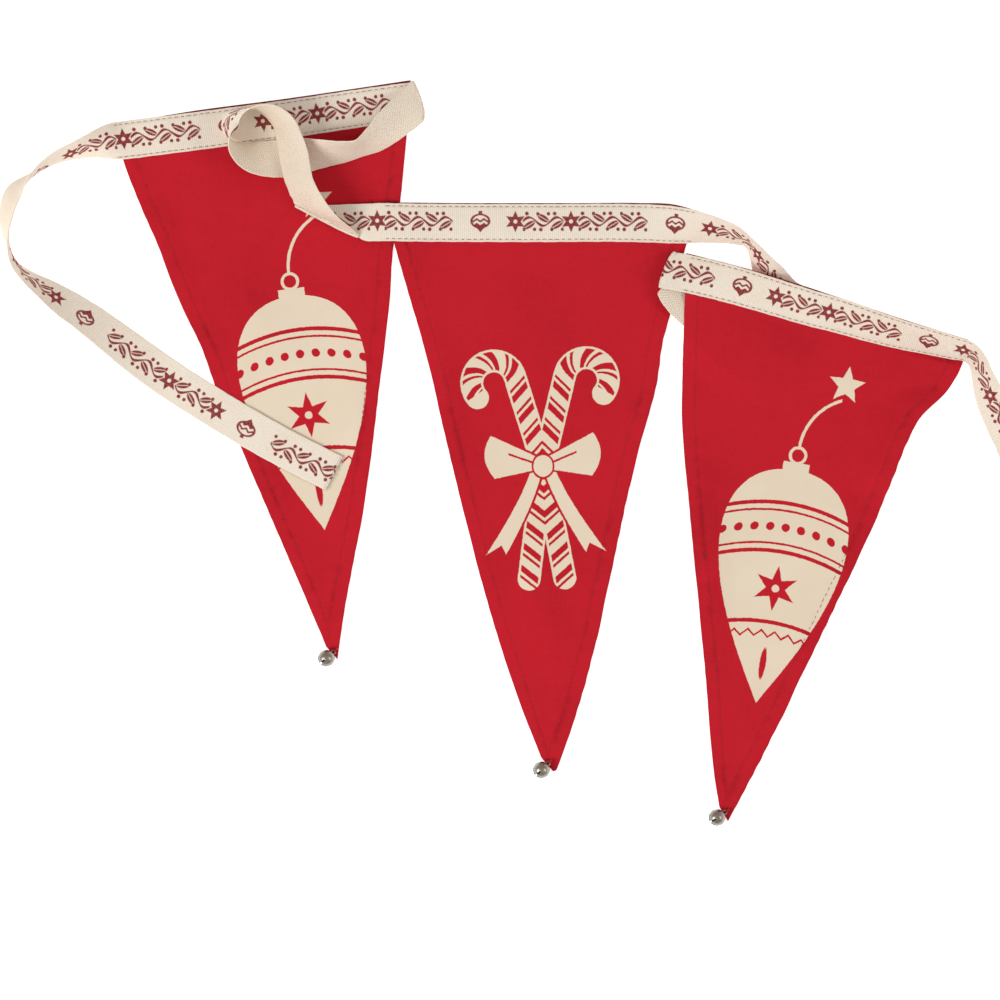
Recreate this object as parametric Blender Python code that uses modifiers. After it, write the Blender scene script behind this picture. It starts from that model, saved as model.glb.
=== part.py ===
"""Fabric bunting lying flat: three cotton pennants on one printed tape, a bell on each tip.

The tables are in millimetres. The origin is on the surface under the middle pennant,
+X runs along the bunting to the right, +Y towards the tape, and +Z is up.
The tape is one ribbon that bends, stands on its edge, folds and passes over itself.
"""

import math
from collections import namedtuple

import bpy
import numpy as np
from mathutils import Matrix, Vector

MM = 0.001

# Driving sizes, in millimetres.
TAPE_WIDTH = 19.0
TAPE_THICKNESS = 1.0
TAPE_COLUMNS = 4
CLOTH_THICKNESS = 1.2
HEM_THICKNESS = 1.5
HEM_WIDTH = 8.0
HEM_SLOPE = 1.0
HEM_SHARE = 0.28
FIELD_COLUMNS = 7
PENNANT_ROWS = 38
ROW_SPREAD = 1.7
FOLD_PIECES = 6
SKEW_REACH = 1.25
BELL_DIAMETER = 8.5
BELL_WALL = 0.5
BELL_TILT = 72.0
BELL_LIFT = 0.05
SLOT_WIDTH = 0.9
SLOT_ANGLE = 60.0
SLOT_HOLE = 1.4
LOOP_RADIUS = 1.0
LOOP_WIRE = 0.28

# The tape's route, one run of stations between two folds. x and y place the middle of its
# width and foot the height of its lower edge. At roll 0 its printed face is up, at 180 its
# back; from 0 to 90 the edge on the left of its route rises, from 180 to 270 the other one.
# cup is how far it curves across, and steps is how many pieces reach the next station.
Station = namedtuple("Station", "x y foot roll cup steps")

LEFT_TAIL_AND_PENNANT_1 = (
    Station(-102.8, 13.2, 2.3, 0, 0, 3),
    Station(-129.8, 27.0, 2.3, 0, 0, 3),
    Station(-151.0, 39.0, 2.3, 0, 0, 3),
    Station(-168.0, 49.4, 2.0, 0, 0, 3),
    Station(-184.0, 59.6, 0.7, 2, 0, 2),
    Station(-200.0, 71.0, 0.5, 12, 0, 2),
    Station(-215.0, 82.6, 0.5, 26, 0, 2),
    Station(-227.2, 91.8, 0.5, 35, 0, 2),
    Station(-238.0, 99.0, 0.5, 43, 0, 2),
    Station(-246.4, 105.0, 0.5, 56, 0, 2),
    Station(-255.0, 111.0, 0.5, 70, 0, 3),
    Station(-262.6, 118.6, 0.5, 84, 0, 3),
    Station(-266.0, 129.0, 0.5, 98, 0, 3),
    Station(-266.2, 141.0, 0.5, 114, 8, 3),
    Station(-263.2, 152.2, 0.5, 121, 16, 3),
    Station(-255.0, 161.8, 0.5, 98, 0, 3),
    Station(-242.4, 170.2, 0.5, 78, -8, 3),
    Station(-230.0, 174.7, 0.6, 65, -8, 2),
    Station(-222.0, 177.0, 1.3, 50, -6, 2),
    Station(-215.4, 178.6, 2.1, 28, 0, 2),
    Station(-208.6, 179.6, 2.4, 6, 0, 2),
    Station(-200.0, 180.7, 2.3, 0, 0, 2),
    Station(-162.0, 185.6, 2.3, 0, 0, 2),
    Station(-124.0, 190.6, 2.3, 0, 0, 2),
    Station(-88.0, 196.0, 2.3, 0, 0, 2),
    Station(-60.0, 199.8, 2.3, 0, 0, 0),
)
BACK_OVER_PENNANT_1 = (
    Station(-60.0, 199.8, 3.7, 180, 0, 4),
    Station(-73.0, 188.4, 3.0, 154, 0, 3),
    Station(-82.6, 179.8, 2.2, 131, 6, 3),
    Station(-91.0, 175.0, 1.9, 114, 10, 3),
    Station(-98.6, 173.4, 1.9, 121, 8, 3),
    Station(-106.0, 172.8, 2.0, 130, 4, 3),
    Station(-113.6, 172.2, 2.6, 144, 0, 3),
    Station(-121.6, 171.4, 3.6, 170, 0, 3),
    Station(-129.6, 170.6, 3.7, 182, 0, 3),
    Station(-138.0, 170.4, 3.7, 199, 0, 2),
    Station(-146.0, 172.0, 3.7, 221, -10, 3),
    Station(-152.2, 176.4, 3.8, 250, -10, 3),
    Station(-155.2, 182.4, 4.0, 282, 10, 3),
    Station(-154.0, 188.8, 4.0, 299, 30, 3),
    Station(-148.8, 193.2, 4.0, 282, 20, 3),
    Station(-141.6, 194.8, 4.0, 266, 0, 3),
    Station(-134.4, 193.2, 4.4, 250, -20, 3),
    Station(-128.4, 188.4, 5.2, 236, -34, 3),
    Station(-124.8, 180.0, 6.2, 226, -36, 3),
    Station(-122.4, 170.4, 6.8, 219, -30, 3),
    Station(-120.2, 161.4, 6.8, 216, -24, 3),
    Station(-116.4, 153.6, 6.6, 212, -16, 3),
    Station(-110.0, 145.2, 6.9, 198, -6, 1),
    Station(-104.4, 139.2, 7.4, 180, 0, 0),
)
PENNANT_2_AND_ON_UNDER_PENNANT_3 = (
    Station(-104.4, 139.2, 2.6, 0, 0, 4),
    Station(-86.0, 139.0, 4.0, 0, 0, 2),
    Station(-78.0, 138.8, 4.5, 0, 0, 2),
    Station(-67.0, 138.6, 4.4, 0, 0, 2),
    Station(-46.0, 138.5, 2.3, 0, 0, 2),
    Station(0.0, 138.4, 2.3, 0, 0, 2),
    Station(46.0, 138.4, 2.3, 0, 0, 2),
    Station(58.0, 138.0, 2.3, 6, 0, 2),
    Station(66.0, 137.4, 2.3, 15, 0, 2),
    Station(73.0, 136.7, 2.3, 26, 0, 2),
    Station(80.0, 135.8, 1.8, 39, 0, 2),
    Station(88.0, 134.4, 0.6, 51, 0, 2),
    Station(97.5, 131.8, 0.5, 65, 0, 3),
    Station(104.2, 128.0, 0.5, 77, 0, 3),
    Station(108.2, 122.6, 0.5, 68, 0, 3),
    Station(111.4, 116.8, 0.5, 52, 0, 3),
    Station(114.8, 110.4, 0.5, 24, 0, 3),
    Station(120.4, 103.2, 0.5, 6, 0, 3),
    Station(129.0, 97.6, 0.5, 1, 0, 2),
    Station(142.0, 91.4, 0.5, 0, 0, 2),
    Station(160.0, 83.6, 0.5, 0, 0, 2),
    Station(179.0, 76.5, 0.5, 0, 0, 0),
)
BACK_FROM_UNDER_PENNANT_3 = (
    Station(179.0, 76.5, 1.85, 180, 0, 2),
    Station(153.0, 72.4, 1.85, 180, 0, 2),
    Station(126.0, 71.4, 1.85, 180, 0, 2),
    Station(106.0, 74.4, 1.85, 180, 0, 2),
    Station(91.0, 81.8, 1.9, 180, 0, 3),
    Station(80.2, 92.0, 2.1, 180, 0, 3),
    Station(72.6, 103.6, 2.6, 180, 0, 4),
    Station(63.6, 114.8, 3.0, 180, 0, 0),
)
PENNANT_3_AND_RIGHT_TAIL = (
    Station(63.6, 114.8, 8.4, 0, 0, 3),
    Station(77.6, 112.0, 7.0, 2, 0, 3),
    Station(92.0, 108.5, 5.8, 7, 0, 2),
    Station(106.0, 104.5, 5.4, 14, 0, 2),
    Station(120.0, 100.2, 5.2, 19, 0, 2),
    Station(135.0, 95.6, 5.0, 23, 0, 2),
    Station(150.0, 91.5, 5.0, 28, 0, 2),
    Station(165.0, 86.7, 5.0, 35, 0, 2),
    Station(180.0, 82.3, 5.0, 43, 0, 2),
    Station(195.0, 78.6, 4.4, 50, 0, 2),
    Station(206.0, 75.8, 3.6, 55, 0, 2),
    Station(213.6, 73.6, 2.6, 61, 0, 2),
    Station(217.8, 69.4, 1.4, 65, 0, 3),
    Station(220.4, 62.4, 0.5, 60, 0, 3),
    Station(223.4, 54.0, 0.5, 47, 0, 3),
    Station(229.4, 41.4, 0.5, 32, 0, 3),
    Station(236.4, 28.4, 0.5, 20, 0, 2),
    Station(246.6, 2.0, 0.5, 4, 0, 3),
    Station(255.8, -35.0, 0.5, 0, 0, 2),
    Station(262.0, -70.0, 0.5, 0, 0, 2),
    Station(265.0, -105.0, 0.5, 0, 0, 2),
    Station(264.0, -140.0, 0.5, 0, 0, 2),
    Station(258.0, -172.0, 0.5, 0, 0, 0),
)
TAPE_RUNS = (
    LEFT_TAIL_AND_PENNANT_1,
    BACK_OVER_PENNANT_1,
    PENNANT_2_AND_ON_UNDER_PENNANT_3,
    BACK_FROM_UNDER_PENNANT_3,
    PENNANT_3_AND_RIGHT_TAIL,
)

# The creases between the runs: each one's direction, in degrees from +X, and its length.
Crease = namedtuple("Crease", "angle length")

CREASES = (Crease(-71.0, 20.6), Crease(-27.5, 40.0), Crease(-110.0, 19.6), Crease(-111.0, 19.4))

# Each pennant's edges: the top from left to right, the sides from the top down. The tip is
# the straight line between the ends of the sides.
Pennant = namedtuple("Pennant", "name top left right bell")
Point = namedtuple("Point", "x y")

PENNANTS = (
    Pennant(
        "pennant_1",
        top=(Point(-212.8, 187.4), Point(-178.6, 193.9), Point(-126.0, 201.0), Point(-64.6, 210.2)),
        left=(
            Point(-212.8, 187.4), Point(-208.6, 170.4), Point(-201.5, 151.5), Point(-192.2, 130.0), Point(-178.5, 95.5),
            Point(-170.0, 78.0), Point(-162.0, 56.0), Point(-140.6, 5.5), Point(-112.5, -60.0),
            Point(-107.0, -73.2),
        ),
        right=(
            Point(-64.6, 210.2), Point(-70.0, 148.2), Point(-73.2, 127.0), Point(-75.0, 102.0),
            Point(-80.6, 53.5), Point(-86.6, 5.5), Point(-98.6, -61.0), Point(-101.2, -79.6),
        ),
        bell=Point(-106.7, -79.0),
    ),
    Pennant(
        "pennant_2",
        top=(Point(-78.0, 148.8), Point(-30.0, 148.6), Point(20.0, 148.6), Point(50.0, 148.4),
             Point(77.0, 145.4)),
        left=(
            Point(-78.0, 148.8), Point(-73.0, 128.6), Point(-65.4, 102.0), Point(-55.2, 66.0),
            Point(-48.0, 34.4), Point(-3.0, -120.0), Point(0.6, -128.8),
        ),
        right=(
            Point(77.0, 145.6), Point(73.4, 128.4), Point(65.0, 92.4), Point(61.6, 80.0),
            Point(57.6, 54.0), Point(54.6, 44.0), Point(13.8, -120.0), Point(7.4, -135.6),
        ),
        bell=Point(0.7, -134.7),
    ),
    Pennant(
        "pennant_3",
        top=(Point(73.0, 123.4), Point(98.0, 117.2), Point(127.4, 108.4), Point(150.0, 100.8),
             Point(180.0, 90.4), Point(213.0, 80.0)),
        left=(
            Point(73.0, 123.4), Point(72.4, 106.0), Point(71.6, 80.0), Point(71.0, 40.0),
            Point(74.6, -4.0), Point(82.4, -84.0), Point(88.2, -145.0), Point(89.6, -153.2),
        ),
        right=(
            Point(213.0, 80.0), Point(211.6, 69.4), Point(204.0, 55.4), Point(188.2, 38.6),
            Point(183.8, 30.0), Point(173.6, 4.0), Point(136.6, -76.0), Point(102.4, -145.0),
            Point(94.0, -160.6),
        ),
        bell=Point(88.4, -158.5),
    ),
)

# Where the cloth is off the surface: along a line from x0, y0 to x1, y1 it is height above
# it, level for flat on both sides and then falling away over fade.
Lift = namedtuple("Lift", "x0 y0 x1 y1 flat fade height")

LIFTS = {
    "pennant_1": (
        Lift(-196, 138, -184, 108, 0, 15, 1.6),
        Lift(-92, 92, -94, 36, 0, 16, 1.2),
        Lift(-150, 100, -128, 72, 0, 18, 1.0),
        Lift(-118, -26, -110, -50, 0, 14, 0.8),
    ),
    "pennant_2": (
        Lift(-78, 152, -76, 126, 7, 16, 1.9),
        Lift(80, 150, 80, 148, 0, 13, 4.0),
        Lift(-52, 76, -42, 36, 0, 14, 1.2),
        Lift(62, 84, 52, 40, 0, 13, 2.2),
        Lift(-4, -40, 8, -90, 0, 15, 1.0),
    ),
    "pennant_3": (
        Lift(184, 78, 126, 71.6, 14, 15, 3.0),
        Lift(126, 71.6, 104, 76, 14, 15, 3.0),
        Lift(104, 76, 78, 98, 14, 14, 3.6),
        Lift(188, 44, 172, 14, 2, 17, 5.0),
        Lift(80, 10, 86, -60, 0, 14, 1.4),
        Lift(150, -10, 124, -70, 0, 18, 1.4),
    ),
}

# Where the tape twists over a pennant it holds up the cloth that is sewn behind it. The
# cloth's underside is SEAM_DEPTH below the middle of the tape's thickness, and beyond the
# tape it falls away over SEAM_FADE.
HELD_BY = {"pennant_3": PENNANT_3_AND_RIGHT_TAIL}
SEAM_DEPTH = 2.8
SEAM_FADE = 16.0

# Each bell's slotted end points this way, in degrees from +X.
BELL_HEADINGS = {"bell_1": -139.0, "bell_2": -136.0, "bell_3": -146.0}


def clear_scene():
    """Removes every object that is in the scene."""
    for item in list(bpy.data.objects):
        bpy.data.objects.remove(item, do_unlink=True)


def new_collection(name):
    """Adds a collection to the scene."""
    collection = bpy.data.collections.new(name)
    bpy.context.scene.collection.children.link(collection)
    return collection


def finish(name, colour, roughness, metallic=0.0):
    """A Principled material of one colour."""
    material = bpy.data.materials.new(name)
    material.use_nodes = True
    shader = material.node_tree.nodes["Principled BSDF"]
    shader.inputs["Base Color"].default_value = (*colour, 1.0)
    shader.inputs["Roughness"].default_value = roughness
    shader.inputs["Metallic"].default_value = metallic
    return material


def sheet_object(name, rows, collection, material):
    """An open sheet through rows of points, each row with the same number of points."""
    width = len(rows[0])
    points = [tuple(coordinate * MM for coordinate in point) for row in rows for point in row]
    faces = []
    for i in range(len(rows) - 1):
        for j in range(width - 1):
            corner = i * width + j
            faces.append((corner, corner + width, corner + width + 1, corner + 1))
    mesh = bpy.data.meshes.new(name)
    mesh.from_pydata(points, [], faces)
    mesh.materials.append(material)
    sheet = bpy.data.objects.new(name, mesh)
    collection.objects.link(sheet)
    return sheet


def thicken(sheet, thickness, offset):
    """Gives an open sheet its thickness; offset 1 keeps the sheet as the underside."""
    solid = sheet.modifiers.new("Thickness", "SOLIDIFY")
    solid.thickness = thickness * MM
    solid.offset = offset
    return solid


def hermite(values, slopes, along, k, t):
    """A point at share t of the way from station k to the next, on a smooth curve."""
    span = along[k + 1] - along[k]
    return (
        (2 * t**3 - 3 * t**2 + 1) * values[k]
        + (t**3 - 2 * t**2 + t) * span * slopes[k]
        + (3 * t**2 - 2 * t**3) * values[k + 1]
        + (t**3 - t**2) * span * slopes[k + 1]
    )


def steady_slopes(values, along):
    """Slopes that carry a smooth curve through the values without passing beyond them."""
    slopes = np.gradient(values, along, axis=0)
    secants = np.diff(values, axis=0) / np.diff(along)[:, None]
    before, after = secants[:-1], secants[1:]
    limit = 3 * np.minimum(abs(before), abs(after))
    inner = np.clip(slopes[1:-1], -limit, limit)
    slopes[1:-1] = np.where(before * after > 0, inner, 0.0)
    return slopes


def smooth_run(run):
    """Samples a run of stations: one row of x, y, foot, roll and cup for each step."""
    values = np.array([station[:5] for station in run], dtype=float)
    lengths = np.hypot(*np.diff(values[:, :2], axis=0).T)
    along = np.concatenate([[0.0], np.cumsum(lengths)])
    slopes = np.gradient(values, along, axis=0)
    slopes[:, 2:] = steady_slopes(values[:, 2:], along)
    samples = []
    for k, station in enumerate(run[:-1]):
        for step in range(station.steps):
            samples.append(hermite(values, slopes, along, k, step / station.steps))
    samples.append(values[-1])
    return np.array(samples)


def unit(vector):
    """The vector at length 1."""
    return vector / np.linalg.norm(vector)


def ease(share):
    """A smooth rise from 0 to 1."""
    share = min(max(share, 0.0), 1.0)
    return share * share * (3 - 2 * share)


def run_frames(run):
    """Each sample's middle, half-width vector, heading and cup, before any crease."""
    samples = smooth_run(run)
    plan = samples[:, :2]
    headings = np.gradient(plan, axis=0)
    frames = []
    for sample, heading in zip(samples, headings):
        forward = unit(np.array([heading[0], heading[1], 0.0]))
        left = np.array([-forward[1], forward[0], 0.0])
        roll = math.radians(sample[3])
        across = math.cos(roll) * left + math.sin(roll) * np.array([0.0, 0.0, 1.0])
        height = sample[2] + TAPE_WIDTH / 2 * abs(math.sin(roll))
        middle = np.array([sample[0], sample[1], height])
        frames.append([middle, across * TAPE_WIDTH / 2, forward, math.radians(sample[4])])
    return frames


def lean_to_crease(frames, crease, at_end):
    """Turns the tape's cross lines, near one end of a run, until they lie along a crease."""
    end = frames[-1] if at_end else frames[0]
    angle = math.radians(crease.angle)
    target = np.array([math.cos(angle), math.sin(angle), 0.0]) * crease.length / 2
    turn = target * math.copysign(1.0, float(np.dot(target, end[1]))) - end[1]
    reach = max(SKEW_REACH * float(np.linalg.norm(turn)), 1.0)
    for frame in frames:
        distance = float(np.linalg.norm(frame[0][:2] - end[0][:2]))
        frame[1] = frame[1] + max(1.0 - distance / reach, 0.0) * turn


def cross_row(middle, half, forward, cup):
    """The points across the tape at one place, from its right edge to its left edge."""
    normal = unit(np.cross(forward, half))
    row = []
    for column in range(TAPE_COLUMNS + 1):
        place = 2 * column / TAPE_COLUMNS - 1
        if abs(cup) < 1e-4:
            row.append(middle + place * half)
            continue
        bend = place * cup / 2
        row.append(
            middle
            + half * (math.sin(bend) / (cup / 2))
            + normal * np.linalg.norm(half) * (math.cos(bend) - math.cos(cup / 2)) / (cup / 2)
        )
    return row


def fold_rows(before, after):
    """The rows round a fold: half a turn from one layer of the tape to the next."""
    start, half, forward = before[0], before[1], before[2]
    crease = unit(half)
    outward = np.array([-crease[1], crease[0], 0.0])
    if np.dot(outward, forward) < 0:
        outward = -outward
    radius = abs(after[0][2] - start[2]) / 2
    rows = []
    for piece in range(1, FOLD_PIECES):
        turn = math.pi * piece / FOLD_PIECES
        share = (1 - math.cos(turn)) / 2
        middle = start + share * (after[0] - start) + outward * radius * math.sin(turn)
        rows.append(cross_row(middle, half + share * (after[1] - half), forward, 0.0))
    return rows


def tape_rows():
    """Every row of points along the tape, from the left tie end to the right one."""
    runs = [run_frames(run) for run in TAPE_RUNS]
    for index, crease in enumerate(CREASES):
        lean_to_crease(runs[index], crease, at_end=True)
        lean_to_crease(runs[index + 1], crease, at_end=False)
    rows = []
    for index, frames in enumerate(runs):
        if index:
            rows.extend(fold_rows(runs[index - 1][-1], frames[0]))
        rows.extend(cross_row(*frame) for frame in frames)
    return rows


def make_tape(collection, material):
    """The heading tape, one ribbon from tie end to tie end."""
    tape = sheet_object("tape", tape_rows(), collection, material)
    thicken(tape, TAPE_THICKNESS, 0.0)
    return tape


def edge_point(points, share):
    """A point at a share of the length of a smooth line through the points."""
    values = np.array(points, dtype=float)
    lengths = np.hypot(*np.diff(values, axis=0).T)
    along = np.concatenate([[0.0], np.cumsum(lengths)])
    slopes = np.gradient(values, along, axis=0)
    distance = share * along[-1]
    k = int(min(np.searchsorted(along, distance, side="right") - 1, len(points) - 2))
    return hermite(values, slopes, along, k, (distance - along[k]) / (along[k + 1] - along[k]))


def patch_point(pennant, u, v):
    """A point of the pennant's outline filled in: u runs across it and v down it."""
    top = edge_point(pennant.top, u)
    left = edge_point(pennant.left, v)
    right = edge_point(pennant.right, v)
    corners = [np.array(p) for p in (pennant.top[0], pennant.top[-1])]
    ends = [np.array(p) for p in (pennant.left[-1], pennant.right[-1])]
    tip = (1 - u) * ends[0] + u * ends[1]
    return (
        (1 - v) * top + v * tip + (1 - u) * left + u * right
        - (1 - v) * ((1 - u) * corners[0] + u * corners[1])
        - v * ((1 - u) * ends[0] + u * ends[1])
    )


def held_height(frames, x, y):
    """How far the tape of a run holds up the cloth's underside at x, y."""
    if not frames:
        return 0.0
    middles = np.array([frame[0] for frame in frames])
    halves = np.array([frame[1] for frame in frames])
    offsets = np.array([x, y]) - middles[:, :2]
    widths = np.linalg.norm(halves[:, :2], axis=1)
    shares = np.sum(offsets * halves[:, :2], axis=1) / widths**2
    inside = np.clip(shares, -1.0, 1.0)
    gaps = np.linalg.norm(offsets - inside[:, None] * halves[:, :2], axis=1)
    best = int(np.argmin(gaps))
    slant = float(np.linalg.norm(halves[best])) / float(widths[best])
    height = middles[best, 2] + inside[best] * halves[best, 2] - SEAM_DEPTH * slant
    return max(float(height), 0.0) * ease(1.0 - float(gaps[best]) / SEAM_FADE)


def height_at(lifts, frames, x, y):
    """How far the cloth's underside is above the surface at x, y."""
    height = held_height(frames, x, y)
    for lift in lifts:
        start = np.array([lift.x0, lift.y0], dtype=float)
        run = np.array([lift.x1 - lift.x0, lift.y1 - lift.y0], dtype=float)
        share = np.clip(np.dot(np.array([x, y]) - start, run) / np.dot(run, run), 0.0, 1.0)
        distance = np.linalg.norm(np.array([x, y]) - start - share * run)
        height = max(height, lift.height * ease(1.0 - (distance - lift.flat) / lift.fade))
    return height


def hem_columns(width):
    """Shares across the pennant where its columns of points lie, and which are hem."""
    outer = min((HEM_WIDTH - HEM_SLOPE / 2) / width, HEM_SHARE)
    inner = min((HEM_WIDTH + HEM_SLOPE / 2) / width, HEM_SHARE + HEM_SLOPE / width)
    inner = min(inner, 0.46)
    field = [inner + (1 - 2 * inner) * k / FIELD_COLUMNS for k in range(FIELD_COLUMNS + 1)]
    shares = [0.0, outer] + field + [1 - outer, 1.0]
    weights = [1.0, 1.0] + [0.0] * len(field) + [1.0, 1.0]
    return shares, weights


def make_pennant(pennant, collection, material):
    """One pennant: a triangle of cloth, thicker along its side hems, flat underneath."""
    frames = run_frames(HELD_BY[pennant.name]) if pennant.name in HELD_BY else []
    lifts = LIFTS[pennant.name]
    rows, weights = [], []
    for row in range(PENNANT_ROWS + 1):
        v = (row / PENNANT_ROWS) ** ROW_SPREAD
        width = np.linalg.norm(edge_point(pennant.right, v) - edge_point(pennant.left, v))
        shares, marks = hem_columns(float(width))
        flat = [patch_point(pennant, u, v) for u in shares]
        rows.append([(p[0], p[1], height_at(lifts, frames, p[0], p[1])) for p in flat])
        weights.extend(marks)
    cloth = sheet_object(pennant.name, rows, collection, material)
    hem = cloth.vertex_groups.new(name="hem")
    for index, weight in enumerate(weights):
        hem.add([index], weight, "REPLACE")
    solid = thicken(cloth, HEM_THICKNESS, 1.0)
    solid.vertex_group = "hem"
    solid.thickness_vertex_group = CLOTH_THICKNESS / HEM_THICKNESS
    return cloth


def cut(body, tool, operation="DIFFERENCE"):
    """Adds a Boolean of a tool that stays hidden."""
    boolean = body.modifiers.new(tool.name, "BOOLEAN")
    boolean.operation = operation
    boolean.object = tool
    boolean.solver = "EXACT"
    tool.hide_render = True
    tool.display_type = "WIRE"


def adopt(name, collection, frame):
    """Names the object that was just added, moves it to a collection and places it."""
    item = bpy.context.object
    item.name = name
    for owner in list(item.users_collection):
        owner.objects.unlink(item)
    collection.objects.link(item)
    item.matrix_world = frame @ item.matrix_world
    return item


def make_bell(name, place, heading, collection, cutters, material):
    """A pressed bell: a hollow ball, a crossed slot at one end and a wire loop at the other."""
    radius = BELL_DIAMETER / 2 * MM
    outwards = math.radians(heading)
    tilt = Matrix.Rotation(outwards, 4, "Z") @ Matrix.Rotation(math.radians(BELL_TILT), 4, "Y")
    centre = Vector((place.x * MM, place.y * MM, radius + BELL_LIFT * MM))
    frame = Matrix.Translation(centre) @ tilt

    bpy.ops.mesh.primitive_uv_sphere_add(segments=18, ring_count=10, radius=radius)
    bell = adopt(name, collection, frame)
    bell.data.materials.append(material)

    bpy.ops.mesh.primitive_uv_sphere_add(
        segments=12, ring_count=7, radius=radius - BELL_WALL * MM
    )
    cut(bell, adopt(f"{name}_hollow", cutters, frame))

    ends = radius * math.cos(math.radians(SLOT_ANGLE))
    reach = radius * math.sin(math.radians(SLOT_ANGLE))
    for index, turn in enumerate((0, 90)):
        bpy.ops.mesh.primitive_cube_add(size=1.0, location=(0, 0, ends + radius / 2))
        slot = adopt(f"{name}_slot_{index}", cutters, Matrix.Identity(4))
        slot.scale = (2 * reach, SLOT_WIDTH * MM, radius)
        slot.matrix_world = (
            frame @ Matrix.Rotation(math.radians(turn), 4, "Z")
            @ Matrix.Translation((0, 0, ends + radius / 2))
            @ Matrix.Diagonal((2 * reach, SLOT_WIDTH * MM, radius, 1.0))
        )
        cut(bell, slot)
    for index in range(4):
        lean = Matrix.Rotation(math.radians(90 * index), 4, "Z")
        lean = lean @ Matrix.Rotation(math.radians(SLOT_ANGLE), 4, "Y")
        bpy.ops.mesh.primitive_cylinder_add(
            vertices=6, radius=SLOT_HOLE / 2 * MM, depth=3 * BELL_WALL * MM,
            location=(0, 0, radius - BELL_WALL / 2 * MM),
        )
        cut(bell, adopt(f"{name}_hole_{index}", cutters, frame @ lean))

    bpy.ops.mesh.primitive_torus_add(
        major_segments=12, minor_segments=5, major_radius=LOOP_RADIUS * MM,
        minor_radius=LOOP_WIRE * MM, location=(0, 0, -radius - 0.7 * LOOP_RADIUS * MM),
        rotation=(0, math.radians(90), 0),
    )
    loop = adopt(f"{name}_loop", cutters, frame)
    cut(bell, loop, "UNION")
    return bell


def main():
    """Builds the bunting."""
    clear_scene()
    parts = new_collection("fabric_bunting")
    cutters = new_collection("cutters")
    red_cotton = finish("red_cotton", (0.51, 0.014, 0.025), 0.85)
    cream_tape = finish("cream_tape", (0.80, 0.67, 0.52), 0.9)
    nickel = finish("nickel", (0.62, 0.60, 0.55), 0.3, 1.0)
    for pennant, name in zip(PENNANTS, BELL_HEADINGS):
        make_pennant(pennant, parts, red_cotton)
        make_bell(name, pennant.bell, BELL_HEADINGS[name], parts, cutters, nickel)
    make_tape(parts, cream_tape)


main()
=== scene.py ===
"""Looks for the fabric bunting: its printed tape, hemmed pennants, sewing and bells.

The tables are in millimetres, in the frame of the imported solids: the origin is on the
surface under the middle pennant, +X runs along the bunting, +Y towards the tape.
"""

import math
import random
from collections import namedtuple

import bpy
import numpy as np
from mathutils import Matrix, Vector


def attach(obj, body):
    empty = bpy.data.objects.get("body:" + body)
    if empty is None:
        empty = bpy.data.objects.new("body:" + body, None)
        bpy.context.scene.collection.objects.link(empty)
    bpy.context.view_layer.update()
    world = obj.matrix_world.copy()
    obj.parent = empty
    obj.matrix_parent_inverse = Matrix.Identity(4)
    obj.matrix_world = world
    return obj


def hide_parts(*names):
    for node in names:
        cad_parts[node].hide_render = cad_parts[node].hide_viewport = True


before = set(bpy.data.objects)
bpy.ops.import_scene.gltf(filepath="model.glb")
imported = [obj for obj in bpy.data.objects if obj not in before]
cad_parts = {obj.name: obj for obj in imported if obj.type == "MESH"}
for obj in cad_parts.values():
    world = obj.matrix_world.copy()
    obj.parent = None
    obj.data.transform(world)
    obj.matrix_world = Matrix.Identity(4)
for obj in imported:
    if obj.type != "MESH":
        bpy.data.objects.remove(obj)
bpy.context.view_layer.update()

MM = 0.001
UP = np.array([0.0, 0.0, 1.0])

# The tape. Its places, seam and selvedge are shares of its half width.
TAPE_WIDTH = 19.0
TAPE_THICKNESS = 0.75
HALF_PLACES = (0.22, 0.45, 0.65, 0.81, 0.86, 0.9, 0.955, 0.985, 1)
TAPE_PLACES = (*[-place for place in reversed(HALF_PLACES)], 0, *HALF_PLACES)
TAPE_FINENESS = 3
FOLD_PIECES = 10
SKEW_REACH = 1.25
ROUNDING_REACH = 9.0
SEAM_PLACE = 0.86
SELVEDGE = 0.045
SEAM_GROOVE = 0.045
SEAM_DEPTH = 0.16
SEAM_PUFF = 0.12
SEAM_RISE = 3.0
SEAM_HEIGHT = TAPE_THICKNESS / 2 - 0.03
LONGEST_STEP = 2.4
FRAY_YARNS = 34

# The pennants.
CLOTH_THICKNESS = 0.75
HEM_EXTRA = 0.45
HEM_WIDTH = 8.0
HEM_STEPS = (0, 0.08, 0.3, 0.62, 1.3, 2.6, 4.2, 5.6, 6.3, 6.8, 7.3, 7.8, 8.4, 9.2, 10.6)
HEM_START = 4
HEM_SEAM = 6.8
HEM_SEAM_ROOM = 7.4
HEM_RISE = 0.42
CLEARANCE = 0.06
EDGE_ROUNDING = 0.62
EDGE_SHARE = 0.12
FIELD_COLUMNS = 66
PENNANT_ROWS = 190
ROW_CROWDING = 1.12
SEAM_GAP = 0.1
SEAM_FADE = 16.0

# The sewing.
PITCH = 3.1
STITCH = 2.6
THREAD = 0.3
SEAM_WANDER = 0.07
HEM_WANDER = 0.06

# The bells.
BELL_DIAMETER = 8.5
BELL_WALL = 0.5
BELL_TILT = 72.0
BELL_LIFT = 0.05
BELL_SHELL = 0.08
BELL_HEADINGS = {"bell_1": -139.0, "bell_2": -136.0, "bell_3": -146.0}
CRIMP = 0.12
SLOT_REACH = 58.0
SLOT_HALF = 0.42
SLOT_HOLE = 0.3
LOOP_RADIUS = 1.0
LOOP_GAP = 0.62
LOOP_WIRE = 0.27
PEA_RADIUS = 1.35
BELL_THREAD = 0.19

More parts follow.
